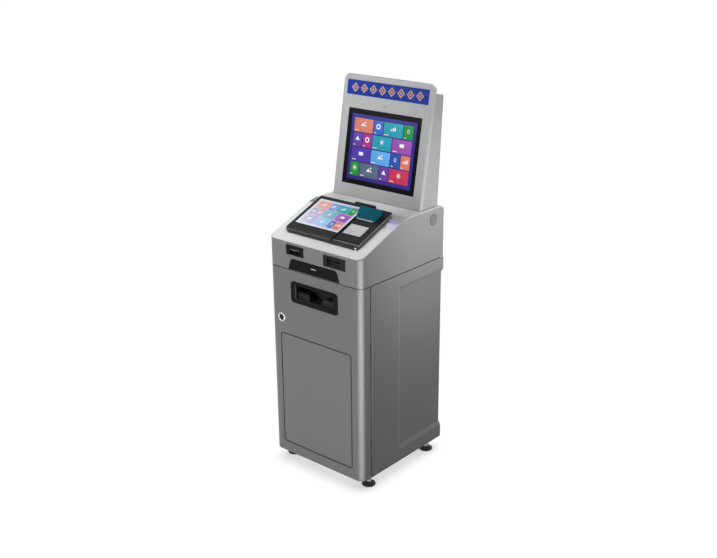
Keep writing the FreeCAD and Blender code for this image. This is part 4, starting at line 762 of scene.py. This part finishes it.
# %% Tile menu
def tile_menu(picture, left, low, wide, high, ground, margin, gap, rows=4):
    """The first rows of the menu between left, low and left + wide, low + high."""
    picture.bar(left, low, left + wide, low + high, ground)
    step_u = (wide - 2 * margin + gap) / MENU_COLUMNS
    step_v = (high - 2 * margin + gap) / rows
    placed = []
    for name, column, row, span_u, span_v, kind in MENU:
        if row < rows:
            u0 = left + margin + column * step_u
            v1 = low + high - margin - row * step_v
            placed.append((u0, v1 - span_v * step_v + gap, u0 + span_u * step_u - gap, v1,
                           TILE_COLOURS[name], kind))
    picture.lift()
    for u0, v0, u1, v1, colour, kind in placed:
        picture.bar(u0, v0, u1, v1, [shade(colour, 0.9), colour, shade(colour, 1.18), colour])
    picture.lift()
    for u0, v0, u1, v1, colour, kind in placed:
        tall = v1 - v0
        tile_sign(picture, kind, (u0 + u1) / 2, (v0 + v1) / 2 + tall * 0.08, tall * 0.2)
        picture.bar(u0 + gap, v0 + gap, u0 + gap + (u1 - u0) * 0.22, v0 + gap * 1.7,
                    shade(WHITE, 0.8))
    print(picture.name, "tiles", len(placed))


NIGHT = [srgb("2a1a74"), srgb("33208a"), srgb("241c86"), srgb("15278a")]
SCREEN_BACK = -0.00105         # the monitor's glass lies behind its face
SCREEN = (-0.168, 0.074, 0.336, 0.268)   # left, low, wide and high, on the monitor's face
monitor_menu = Picture("monitor_picture", on_monitor, start=SCREEN_BACK)
tile_menu(monitor_menu, *SCREEN, NIGHT, margin=0.016, gap=0.0045)
monitor_menu.done(glow("monitor_glow", 0.9), "cabinet", "display")
dress("monitor_screen", black_glass)

# %% [markdown]
# The terminal's screen lies nearly flat under the studio lights, so its lower left would mirror
# them and look washed out. A painted reflection, a pale glow that grows towards that corner, gives
# the same from every side. Its picture has a white border and only three rows of tiles.

# %% Terminal's screen
TABLET_TOP = 0.0165            # height of the screen's glass off the desk
TABLET = (-0.1775, 0.102, 0.049, 0.270)
TABLET_BORDER, TABLET_LINE = 0.005, 0.002


def corner_painted_reflection(paint):
    """The painted reflection: strongest at the lower left corner of the terminal's screen, gone 20
    cm away from it.
    """
    x, y, z = paint.axes()
    corner = on_desk(TABLET[0], TABLET[1], 0)
    away = ((x - corner.x) ** 2.0 + ((y - corner.y) * (1 / math.cos(SLOPE))) ** 2.0) ** 0.5
    return away.fit(0.20, 0.02) * 0.78


def framed(picture, box, inset, colour):
    """A plain panel, in from a box by inset, with the next layer on top of it."""
    u0, v0, u1, v1 = box[0] + inset, box[1] + inset, box[2] - inset, box[3] - inset
    picture.bar(u0, v0, u1, v1, colour)
    picture.lift()
    return u0, v0, u1, v1


tablet_menu = Picture("tablet_picture", on_desk, start=TABLET_TOP + 0.0001)
white_edge = framed(tablet_menu, TABLET, 0.0, srgb("e6e8ee"))
u0, v0, u1, v1 = framed(tablet_menu, white_edge, TABLET_BORDER, srgb("8d88b8"))
PALE = [srgb("d9d4ee"), srgb("c9c2e6"), srgb("a79fd6"), srgb("d9dcf2")]
tile_menu(tablet_menu, u0 + TABLET_LINE, v0 + TABLET_LINE, u1 - u0 - 2 * TABLET_LINE,
          v1 - v0 - 2 * TABLET_LINE, PALE, margin=0.005, gap=0.0022, rows=3)
tablet_menu.done(glow("tablet_glow", 0.9, 0.15, corner_painted_reflection), "cabinet", "display")
dress("tablet_screen", black_glass)

# %% [markdown]
# The sign over the screen is a glossy blue panel with a row of plain gold lozenges. A lozenge is a
# ring or disc of four sides. The pattern is printed, so it lies on the panel and doesn't glow.

# %% Sign
dress("sign_panel", gloss_panel("sign_blue", srgb("0a2f9a"), 0.2, 0.06))
GOLD = srgb("c9a36a")
SIGN_MIDDLE = (0.417 + 0.476) / 2
LOZENGES, LOZENGE_PITCH = 8, 0.0475
sign = Picture("sign_pattern", on_monitor, start=0.0006)
for k in range(LOZENGES):
    centre = (k - (LOZENGES - 1) / 2) * LOZENGE_PITCH
    sign.ring(centre, SIGN_MIDDLE, 0.019, 0.012, GOLD, 4)
    sign.disc(centre, SIGN_MIDDLE, 0.006, GOLD, 4)
sign.done(glow("gold_line", 0.0, 0.35), "cabinet", "sign_blue")

# %% [markdown]
# Small lights and marks: the light bar on the document shutter, the row of pips on the card
# reader, which are marks but glow as painted light, and a tiny green light above the screen. They
# are thin raised shapes with round ends, built as an outline that is copied at two heights and
# joined by walls. The light bar rides on the shutter, so it swings out with it.

# %% Small lights and marks
def pill(name, place, u, v, half_u, half_v, height, thick, material, body, sides=10):
    """A flat bar with round ends, thick metres proud of height."""
    mesh = bmesh.new()
    radius = min(half_u, half_v)
    loop = []
    for k in range(4 * sides):
        angle = 2 * math.pi * k / (4 * sides)
        shift_u = math.copysign(half_u - radius, math.cos(angle))
        shift_v = math.copysign(half_v - radius, math.sin(angle))
        loop.append((u + shift_u + radius * math.cos(angle),
                     v + shift_v + radius * math.sin(angle)))
    low = [mesh.verts.new(place(a, b, height)) for a, b in loop]
    high = [mesh.verts.new(place(a, b, height + thick)) for a, b in loop]
    mesh.faces.new(high)
    mesh.faces.new(low[::-1])
    for k in range(len(loop)):
        j = (k + 1) % len(loop)
        mesh.faces.new((low[k], low[j], high[j], high[k]))
    bmesh.ops.remove_doubles(mesh, verts=mesh.verts, dist=1e-7)
    bmesh.ops.recalc_face_normals(mesh, faces=mesh.faces)
    return new_piece(name, mesh_data(name, mesh), material, body)


def lamp(name, colour, strength):
    """Frosted plastic with a light behind it."""
    paint = Paint(name)
    glass = paint.noise(500, 2.0).fit(0.2, 0.8)
    base = paint.mix(glass, shade(colour, 0.8), colour)
    return paint.done(Base_Color=base, Emission_Color=base, Emission_Strength=strength,
                      Roughness=0.3)


white_lamp = lamp("white_lamp", (0.75, 0.76, 0.78), 0.22)
green_lamp = lamp("green_lamp", (0.10, 0.45, 0.16), 0.3)
pill("mouth_light_bar", on_front, 0.0, 0.9105, half_u=0.0125, half_v=0.0017, height=0.0004,
     thick=0.0002, material=white_lamp, body="mouth_flap")
READER_MIDDLE, PIP_PITCH = -0.0985, 0.0095
# the reader's pips are marks, not lamps: their glow is painted light from the white lamp material
for k in range(5):
    pill("reader_pip_%d" % (k + 1), on_front, READER_MIDDLE + (k - 2) * PIP_PITCH, 0.9712,
         half_u=0.0016, half_v=0.0040, height=0.0009, thick=0.0008, material=white_lamp,
         body="cabinet", sides=4)
pill("monitor_light", on_monitor, 0.0, 0.386, half_u=0.0016, half_v=0.0016, height=0.0004,
     thick=0.0002, material=green_lamp, body="cabinet")

# %% [markdown]
# The levelling feet are turned parts, so their outline is spun about the upright axis: a rubber pad
# with two ribs, a steel cup and a threaded stem. They could be cylinders on top of each other, but
# one outline leaves no hidden faces between them. The CAD foot has the plain outline; this one adds
# the ribs and the thread. One finish serves the whole foot: rubber below, steel above the pad.

# %% Finish and outline of a foot
PAD_TOP = 0.0165


def foot_finish(name):
    paint = Paint(name)
    x, y, z = paint.axes()
    steel = (z - PAD_TOP).fit(0.0, 0.0004)
    grain = paint.noise(900, 2.0)
    base = paint.mix(steel, (0.013, 0.013, 0.013), (0.40, 0.41, 0.42))
    base = paint.mix(grain * 0.2, base, (0.05, 0.05, 0.05))
    return paint.done(Base_Color=base, Roughness=0.62 - steel * 0.3, Metallic=steel * 0.9,
                      Normal=paint.bump(grain, 0.3, 0.0004))


def foot_outline(stem=0.0060, root=0.0053, pitch=0.00125):
    """Radius and height from the floor up: pad with two ribs, cone, cup and thread."""
    points = [(0.0, 0.0), (0.0260, 0.0), (0.0280, 0.0012), (0.0285, 0.0024)]
    for z in (0.0032, 0.0048):
        points += [(0.0278, z), (0.0278, z + 0.0004), (0.0285, z + 0.0008)]
    points += [(0.0282, 0.0068), (0.0268, 0.0078), (0.0200, 0.0125), (0.0148, 0.0155),
               (0.0115, 0.0160), (0.0112, 0.0262), (stem, 0.0266)]
    z = 0.0268
    while z < 0.0735:
        points += [(stem, z), (root, z + 0.0006)]
        z += pitch
    return points + [(0.0050, 0.0740), (0.0, 0.0740)]


print("a foot's outline has", len(foot_outline()), "points")

# %% [markdown]
# Each pair of neighbouring points of the outline becomes a ring of faces. A point on the axis has
# no ring, only one corner, so the two ends close as fans. Faces that meet at less than 35 degrees
# are shaded as one round surface, and the rest keep their edge.

# %% Feet
def turned(name, outline, centre, sides, material, body):
    """Spin an outline about the upright axis through centre; its ends close in one point each."""
    mesh = bmesh.new()
    rows = []
    for radius, z in outline:
        if radius < 1e-6:
            rows.append([mesh.verts.new((centre[0], centre[1], z))])
            continue
        rows.append([mesh.verts.new((centre[0] + radius * math.cos(2 * math.pi * k / sides),
                                     centre[1] + radius * math.sin(2 * math.pi * k / sides), z))
                     for k in range(sides)])
    for low, high in zip(rows, rows[1:]):
        for k in range(sides):
            j = (k + 1) % sides
            ring = [low[k % len(low)], low[j % len(low)], high[j % len(high)], high[k % len(high)]]
            mesh.faces.new(list(dict.fromkeys(ring)))
    bmesh.ops.recalc_face_normals(mesh, faces=mesh.faces)
    data = mesh_data(name, mesh)
    for face in data.polygons:
        face.use_smooth = True
    data.set_sharp_from_angle(angle=math.radians(35))
    return new_piece(name, data, material, body)


foot_paint = foot_finish("foot_finish")
FOOT_PLACES = {"foot_front_left": (-0.210, -0.182), "foot_front_right": (0.210, -0.182),
               "foot_rear_left": (-0.210, 0.204), "foot_rear_right": (0.210, 0.204)}
for name, place in FOOT_PLACES.items():
    made = turned(name + "_turned", foot_outline(), place, 40, foot_paint, name)
    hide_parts(name)
print("feet", len(FOOT_PLACES))

# %% [markdown]
# Geometry Nodes suit what repeats: a tree makes one piece and sets it on every point of a mesh that
# holds only the places. Its sizes are named inputs, so a different size is one changed number.
# Three helpers serve every tree: one adds nodes, settings first; one starts a tree with its inputs;
# and one ends it, with the piece set on every point, made real and given its material.

# %% Tools for trees
def tree_tools(tree):
    """Return a function that adds a node; a list is linked item by item to a joining socket."""
    def add(kind, settings=None, inputs=None, out=0):
        made = tree.nodes.new(kind)
        for key, value in (settings or {}).items():
            setattr(made, key, value)
        for key, given in (inputs or {}).items():
            for value in given if isinstance(given, list) else [given]:
                if isinstance(value, bpy.types.NodeSocket):
                    tree.links.new(value, made.inputs[key])
                else:
                    made.inputs[key].default_value = value
        return made.outputs[out]
    return add


def new_tree(name, sizes):
    """A tree with a geometry input and output, and one named input for each size."""
    tree = bpy.data.node_groups.new(name, "GeometryNodeTree")
    tree.interface.new_socket("Geometry", in_out="INPUT", socket_type="NodeSocketGeometry")
    tree.interface.new_socket("Geometry", in_out="OUTPUT", socket_type="NodeSocketGeometry")
    for label, value in sizes.items():
        kind = "NodeSocketVector" if hasattr(value, "__len__") else "NodeSocketFloat"
        made = tree.interface.new_socket(label, in_out="INPUT", socket_type=kind)
        made.default_value = value
    given, result = tree.nodes.new("NodeGroupInput"), tree.nodes.new("NodeGroupOutput")
    return tree, given.outputs, result.inputs["Geometry"]


def spread(add, tree, points, piece, material, result, **more):
    """The end of every tree: the piece on each point, made real, with its material."""
    set_out = add("GeometryNodeInstanceOnPoints",
                  inputs={"Points": points, "Instance": piece, **more})
    solid = add("GeometryNodeRealizeInstances", inputs={0: set_out})
    done = add("GeometryNodeSetMaterial", inputs={"Geometry": solid, "Material": material})
    tree.links.new(done, result)


print("tree tools ready")

# %% [markdown]
# A tree could stay on its object as a live modifier, but what rides on a body and is exported has
# to be a mesh of its own. So a tree runs once, on an object that holds only the points, the result
# is kept as a plain mesh, and that object goes away with its modifier. An input is set by its
# identifier, since two inputs may share a name.

# %% Run a tree
def grown(name, points, tree, values, body):
    """Run a tree on a mesh of points and keep the result as a plain mesh."""
    seed = bpy.data.meshes.new(name + "_points")
    seed.from_pydata([tuple(p) for p in points], [], [])
    source = bpy.data.objects.new(name + "_source", seed)
    bpy.context.scene.collection.objects.link(source)
    modifier = source.modifiers.new("nodes", "NODES")
    modifier.node_group = tree
    for item in tree.interface.items_tree:
        if item.in_out == "INPUT" and item.name in values:
            modifier[item.identifier] = values[item.name]
    bpy.context.view_layer.update()
    graph = bpy.context.evaluated_depsgraph_get()
    data = bpy.data.meshes.new_from_object(source.evaluated_get(graph))
    data.name = name
    bpy.data.objects.remove(source)
    return new_piece(name, data, None, body)


print("each tree gives one mesh, as new_piece reports below")

# %% [markdown]
# The screws on the rear covers are all alike: a low cylinder under a cone for the head, less two
# crossed bars for the driver. Twelve of them could be modelled one by one, but one tree makes them
# all. It joins and cuts with booleans, by the exact solver: it is slower than the fast one, but it
# leaves no spare faces where the cylinder and the cone touch.

# %% Screw tree
def screw_tree(material):
    tree, sizes, result = new_tree("screw_heads", {"Head radius": 0.004, "Head height": 0.0022,
                                                   "Cross width": 0.001, "Turn": (0.0, 0.0, 0.0)})
    add = tree_tools(tree)

    def times(value, factor):
        return add("ShaderNodeMath", {"operation": "MULTIPLY"}, {0: value, 1: factor})

    def raised(piece, height):
        up = add("ShaderNodeCombineXYZ", inputs={"Z": height})
        return add("GeometryNodeTransform", inputs={"Geometry": piece, "Translation": up})

    radius, height, wide = sizes["Head radius"], sizes["Head height"], sizes["Cross width"]
    rim, dome_high = times(height, 0.55), times(height, 0.45)
    base = add("GeometryNodeMeshCylinder", inputs={"Vertices": 32, "Radius": radius, "Depth": rim})
    dome = add("GeometryNodeMeshCone", inputs={"Vertices": 32, "Radius Bottom": radius,
                                               "Radius Top": 0.0026, "Depth": dome_high})
    body = add("GeometryNodeMeshBoolean", {"operation": "UNION", "solver": "EXACT"},
               {1: [raised(base, times(rim, 0.5)), raised(dome, rim)]})
    bars = []
    for bar_size in ({"X": 0.0042, "Y": wide, "Z": 0.0024}, {"X": wide, "Y": 0.0042, "Z": 0.0024}):
        size = add("ShaderNodeCombineXYZ", inputs=bar_size)
        bars.append(raised(add("GeometryNodeMeshCube", inputs={"Size": size}), height))
    cross = add("GeometryNodeMeshBoolean", {"operation": "UNION", "solver": "EXACT"}, {1: bars})
    head = add("GeometryNodeMeshBoolean", {"operation": "DIFFERENCE", "solver": "EXACT"},
               {0: body, 1: cross})
    spread(add, tree, sizes["Geometry"], head, material, result, Rotation=sizes["Turn"])
    return tree


screws = screw_tree(screw_steel)
print("screw tree", len(screws.nodes), "nodes")

# %% [markdown]
# Six screws hold the head's rear panel and six the monitor's rear cover. The cover leans, so its
# screws are placed and turned with it. Both sets stand for the plain screws of the CAD model.

# %% Screws
REAR = 0.260
BACK_FOOT = 0.228              # lower edge of the monitor's rear face, along Y
BACK_LEAN = math.atan2(0.0295, 0.44477)
PANEL_T, COVER_T = 0.0025, 0.0015


def on_back(u, v, w):
    """A point on the monitor's rear face: u across, v up it, w behind it."""
    return Vector((u, BACK_FOOT + v * math.sin(BACK_LEAN) + w * math.cos(BACK_LEAN),
                   HEAD_TOP + v * math.cos(BACK_LEAN) - w * math.sin(BACK_LEAN)))


screw_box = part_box("cover_screws")
head_places = [(x, REAR - PANEL_T, z) for x in (-0.190, 0.0, 0.190) for z in (0.915, 1.055)]
back_places = [on_back(u, v, COVER_T) for u in (-0.177, 0.177) for v in (0.057, 0.219, 0.381)]
head_screws = grown("head_panel_screws", head_places, screws,
                    {"Turn": (-math.pi / 2, 0.0, 0.0)}, "cabinet")
back_screws = grown("monitor_back_screws", back_places, screws,
                    {"Turn": (-math.pi / 2 - BACK_LEAN, 0.0, 0.0)}, "cabinet")
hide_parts("cover_screws")
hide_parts("cover_screws")
print("CAD screws lie within", [list(corner) for corner in screw_box])

# %% [markdown]
# The rear door's air slots are pressed, not just cut: the sheet above each slot is pushed out into
# a low hood that keeps drips away. The slots repeat at one pitch, so Geometry Nodes make one hood
# from the upper outer quarter of a flattened sphere, give it a wall, and set it on every slot.

# %% Louvre hoods
def hood_tree(material):
    tree, sizes, result = new_tree("louvre_hoods", {"Half length": 0.0725, "Reach": 0.0020,
                                                    "Height": 0.0062, "Wall": 0.0006})
    add = tree_tools(tree)
    ball = add("GeometryNodeMeshUVSphere", inputs={"Segments": 48, "Rings": 24, "Radius": 1.0})
    place = add("ShaderNodeSeparateXYZ", inputs={0: add("GeometryNodeInputPosition")}).node.outputs
    below, inside = [add("FunctionNodeCompare", {"data_type": "FLOAT", "operation": "LESS_THAN"},
                         {0: place[axis], 1: -0.001}) for axis in ("Z", "Y")]
    unwanted = add("FunctionNodeBooleanMath", {"operation": "OR"}, {0: below, 1: inside})
    quarter = add("GeometryNodeDeleteGeometry", {"domain": "POINT"},
                  {"Geometry": ball, "Selection": unwanted})
    reach = add("ShaderNodeMath", {"operation": "SUBTRACT"}, {0: sizes["Reach"], 1: sizes["Wall"]})
    size = add("ShaderNodeCombineXYZ", inputs={"X": sizes["Half length"], "Y": reach,
                                               "Z": sizes["Height"]})
    inner = add("GeometryNodeTransform", inputs={"Geometry": quarter, "Scale": size})
    inner = add("GeometryNodeSetShadeSmooth", inputs={"Geometry": inner, "Shade Smooth": True})
    outer = add("GeometryNodeExtrudeMesh", {"mode": "FACES"},
                {"Mesh": inner, "Offset Scale": sizes["Wall"], "Individual": False})
    lining = add("GeometryNodeFlipFaces", inputs={"Mesh": inner})
    hood = add("GeometryNodeJoinGeometry", inputs={0: [outer, lining]})
    whole = add("GeometryNodeMergeByDistance", inputs={"Geometry": hood, "Distance": 1e-5})
    spread(add, tree, sizes["Geometry"], whole, material, result)
    return tree


SLOT_PITCH, SLOTS = 0.013, 8
slot_places = [(0.0, REAR, low + k * SLOT_PITCH) for low in (0.174, 0.662) for k in range(SLOTS)]
grown("rear_door_hoods", slot_places, hood_tree(rear_paint), {}, "rear_door")

# %% [markdown]
# The floor is a pale disc. Near the kiosk the camera sees its lit colour, with the soft shadow,
# plus a glow that lifts it to white; that glow is dimmed under and close to the kiosk as a painted
# shadow, and further out it is plain white. Reflections see the same, but light that bounces back
# on the kiosk comes from the floor's own pale grey, so that the white ground doesn't light the
# kiosk from below.

# %% Studio floor
FLOOR_LIFT = 0.955             # glow of the floor close to the kiosk
FLOOR_BOUNCE = (0.35, 0.35, 0.35)
FLOOR_SHOWN = (0.12, 0.12, 0.12)


def seen_rays(paint):
    """1 for rays from the camera, and for those seen in metal or through glass."""
    eye = paint.node("ShaderNodeLightPath", out="Is Camera Ray")
    metal = paint.node("ShaderNodeLightPath", out="Is Glossy Ray")
    glass = paint.node("ShaderNodeLightPath", out="Is Transmission Ray")
    return eye.calc("MAXIMUM", metal).calc("MAXIMUM", glass)


def floor_paint():
    paint = Paint("studio_floor")
    x, y, z = paint.axes()
    far = ((x ** 2.0 + y ** 2.0) ** 0.5).fit(0.7, 1.5)
    own = paint.node("ShaderNodeBsdfDiffuse", inputs={"Color": FLOOR_BOUNCE, "Roughness": 0.5})
    pale = paint.node("ShaderNodeBsdfDiffuse", inputs={"Color": FLOOR_SHOWN, "Roughness": 0.5})
    open_air = paint.node("ShaderNodeAmbientOcclusion", {"samples": 16}, {"Distance": 0.075}, "AO")
    white = paint.node("ShaderNodeEmission", inputs={"Color": (1, 1, 1), "Strength": 1.0})
    # painted shadow: the glow is dimmed towards grey under and close to the kiosk
    grey = paint.mix(open_air.fit(0.35, 0.97), (0.60, 0.60, 0.60), (1, 1, 1))
    lift = paint.node("ShaderNodeEmission", inputs={"Color": grey, "Strength": FLOOR_LIFT})
    near = paint.node("ShaderNodeAddShader", inputs=(pale, lift))
    shown = paint.node("ShaderNodeMixShader", inputs=(far, near, white))
    whole = paint.node("ShaderNodeMixShader", inputs=(seen_rays(paint), own, shown))
    paint.tree.links.new(whole.socket, paint.output.inputs["Surface"])
    return paint.material


def studio_floor(radius=14.0, sides=96):
    angles = [2 * math.pi * k / sides for k in range(sides)]
    data = bpy.data.meshes.new("studio_floor")
    data.from_pydata([(radius * math.cos(a), radius * math.sin(a), 0) for a in angles], [],
                     [list(range(sides))])
    data.materials.append(floor_paint())
    made = bpy.data.objects.new("studio_floor", data)
    bpy.context.scene.collection.objects.link(made)
    print("floor radius", radius)


studio_floor()

# %% [markdown]
# Light and background are kept apart. The world lights the kiosk dimly from all sides, but shows
# as plain white to the camera and in metal, so the background is white without any light from it.

# %% World
AMBIENT = 0.10


class Air(Paint):
    """The same formulas, for the world's own node tree."""

    def __init__(self, tree):
        self.tree = tree
        self.tree.nodes.clear()
        self.output = tree.nodes.new("ShaderNodeOutputWorld")


world = bpy.data.worlds.new("studio")
world.use_nodes = True
bpy.context.scene.world = world
air = Air(world.node_tree)
dim = air.node("ShaderNodeBackground", inputs={"Color": (1, 1, 1), "Strength": AMBIENT})
white = air.node("ShaderNodeBackground", inputs={"Color": (1, 1, 1), "Strength": 1.0})
blend = air.node("ShaderNodeMixShader", inputs=(seen_rays(air), dim, white))
air.tree.links.new(blend.socket, air.output.inputs["Surface"])
print("world nodes", len(air.tree.nodes))

# %% [markdown]
# Soft boxes do the rest. A top box lights the desk, a front left box the door, a low one the door's
# foot, two the side and one the back, and a narrow beam reaches only the monitor. A lamp that
# should light a surface without a hot streak on its bends is matt, and one that is only there to be
# mirrored is gloss: the rim box draws the white line on the head's crest, and the screen light is
# the large screen's own glow as the silver desk mirrors it.

# %% Soft boxes
def softbox(name, place, aim, size, power, spread=180.0, kind="both", colour=(1, 1, 1)):
    """kind is both, matt (no highlights) or gloss (highlights only)."""
    data = bpy.data.lights.new(name, "AREA")
    data.shape = "RECTANGLE"
    data.size, data.size_y = size
    data.energy = power
    data.color = colour
    data.spread = math.radians(spread)
    made = bpy.data.objects.new(name, data)
    bpy.context.scene.collection.objects.link(made)
    made.location = place
    made.rotation_euler = (Vector(aim) - Vector(place)).to_track_quat("-Z", "Y").to_euler()
    made.visible_camera = False
    made.visible_diffuse = kind != "gloss"
    made.visible_glossy = kind != "matt"
    return made


softbox("top_box", (-0.1, -0.4, 3.4), (0.0, -0.05, 1.0), (1.6, 1.6), 22, kind="matt")
softbox("front_left_box", (-2.2, -2.7, 2.6), (0.0, -0.26, 0.7), (1.4, 2.0), 33)
softbox("front_low_box", (-0.9, -3.1, 0.55), (0.0, -0.26, 0.42), (1.2, 0.9), 3.6, 56)
softbox("face_box", (-0.95, -1.5, 2.0), (-0.42, 0.10, 1.48), (0.4, 0.4), 1.1, 46)
softbox("side_box", (0.92, 0.22, 1.19), (0.245, 0.22, 1.19), (0.3, 0.4), 3.6, 140, "matt")
softbox("side_high_box", (0.62, 0.30, 3.00), (0.245, 0.15, 0.10), (0.4, 0.4), 0.8, 30, "matt")
softbox("back_box", (-0.9, 2.9, 1.9), (0.0, 0.26, 0.8), (1.4, 1.4), 55, kind="matt")
softbox("rim_box", (0.3, 2.2, 3.1), (0.24, 0.2, 1.1), (1.0, 0.8), 60, kind="gloss")
softbox("screen_light", (-0.045, 0.160, 1.375), (-0.045, -0.6, 1.075), (0.26, 0.17), 0.065,
        kind="gloss", colour=(0.28, 0.24, 1.0))
print("soft boxes", len(bpy.data.lights))

# %% [markdown]
# The round upright corner shows a bright line all the way down. A round corner mirrors a fan of
# directions, and seen from above it mirrors the floor, so the light for that line has to lie on the
# floor between the kiosk and the camera. Each height of the corner mirrors another distance:
# five strips, each wider and stronger than the one before, keep the line even.

# %% Strips for the corner line
CORNER = Vector((0.23, -0.245, 0.01))
TOWARDS_CAMERA = Vector((0.655, -0.755, 0.0))
ASIDE = Vector((-TOWARDS_CAMERA.y, TOWARDS_CAMERA.x, 0.0))
FACING_UP = (math.pi, 0.0, math.atan2(TOWARDS_CAMERA.x, -TOWARDS_CAMERA.y))
STRIPS = [(0.05, 0.14, 1.40, 0.00, 20), (0.14, 0.38, 1.40, 0.00, 21), (0.38, 1.0, 1.38, 0.03, 23),
          (1.0, 2.4, 1.30, 0.06, 33), (2.4, 4.8, 1.15, 0.12, 46)]
for near, far, width_share, aside_share, strength in STRIPS:
    half_way, length = (near + far) / 2, far - near
    wide = width_share * half_way
    middle = CORNER + TOWARDS_CAMERA * half_way + ASIDE * (aside_share * half_way)
    strip = softbox("corner_strip_%d_cm" % (near * 100), middle, middle + Vector((0.0, 0.0, 1.0)),
                    (wide, length), strength * wide * length, kind="gloss")
    strip.rotation_euler = FACING_UP
print("strips reach", STRIPS[-1][1], "m from the corner")

# %% [markdown]
# The camera stands where the photograph's did. Its place, its three axes and its focal length in
# pixels were worked out from the cabinet's straight edges, and an axis triple is the columns of
# the camera's matrix. The lens keeps the photograph's width whatever size is rendered.

# %% Camera
PIXELS_WIDE, FOCAL_PIXELS = 717, 1071.994
SENSOR = 36.0
STANDS = (2.70390887, -3.12226655, 2.31387674)
ahead = Vector((-0.61365337, 0.71046135, -0.34449122))
right = Vector((0.75875397, 0.65132399, -0.00833522))
upward = right.cross(ahead)
camera_data = bpy.data.cameras.new("photo_camera")
camera_data.sensor_width = SENSOR
camera_data.lens = SENSOR * FOCAL_PIXELS / PIXELS_WIDE
camera = bpy.data.objects.new("photo_camera", camera_data)
bpy.context.scene.collection.objects.link(camera)
turn = Matrix((right, upward, -ahead)).transposed().to_4x4()
camera.matrix_world = Matrix.Translation(STANDS) @ turn
bpy.context.scene.camera = camera
bpy.context.scene.view_settings.view_transform = "Standard"
print("lens", round(camera_data.lens, 2), "mm")

# %% [markdown]
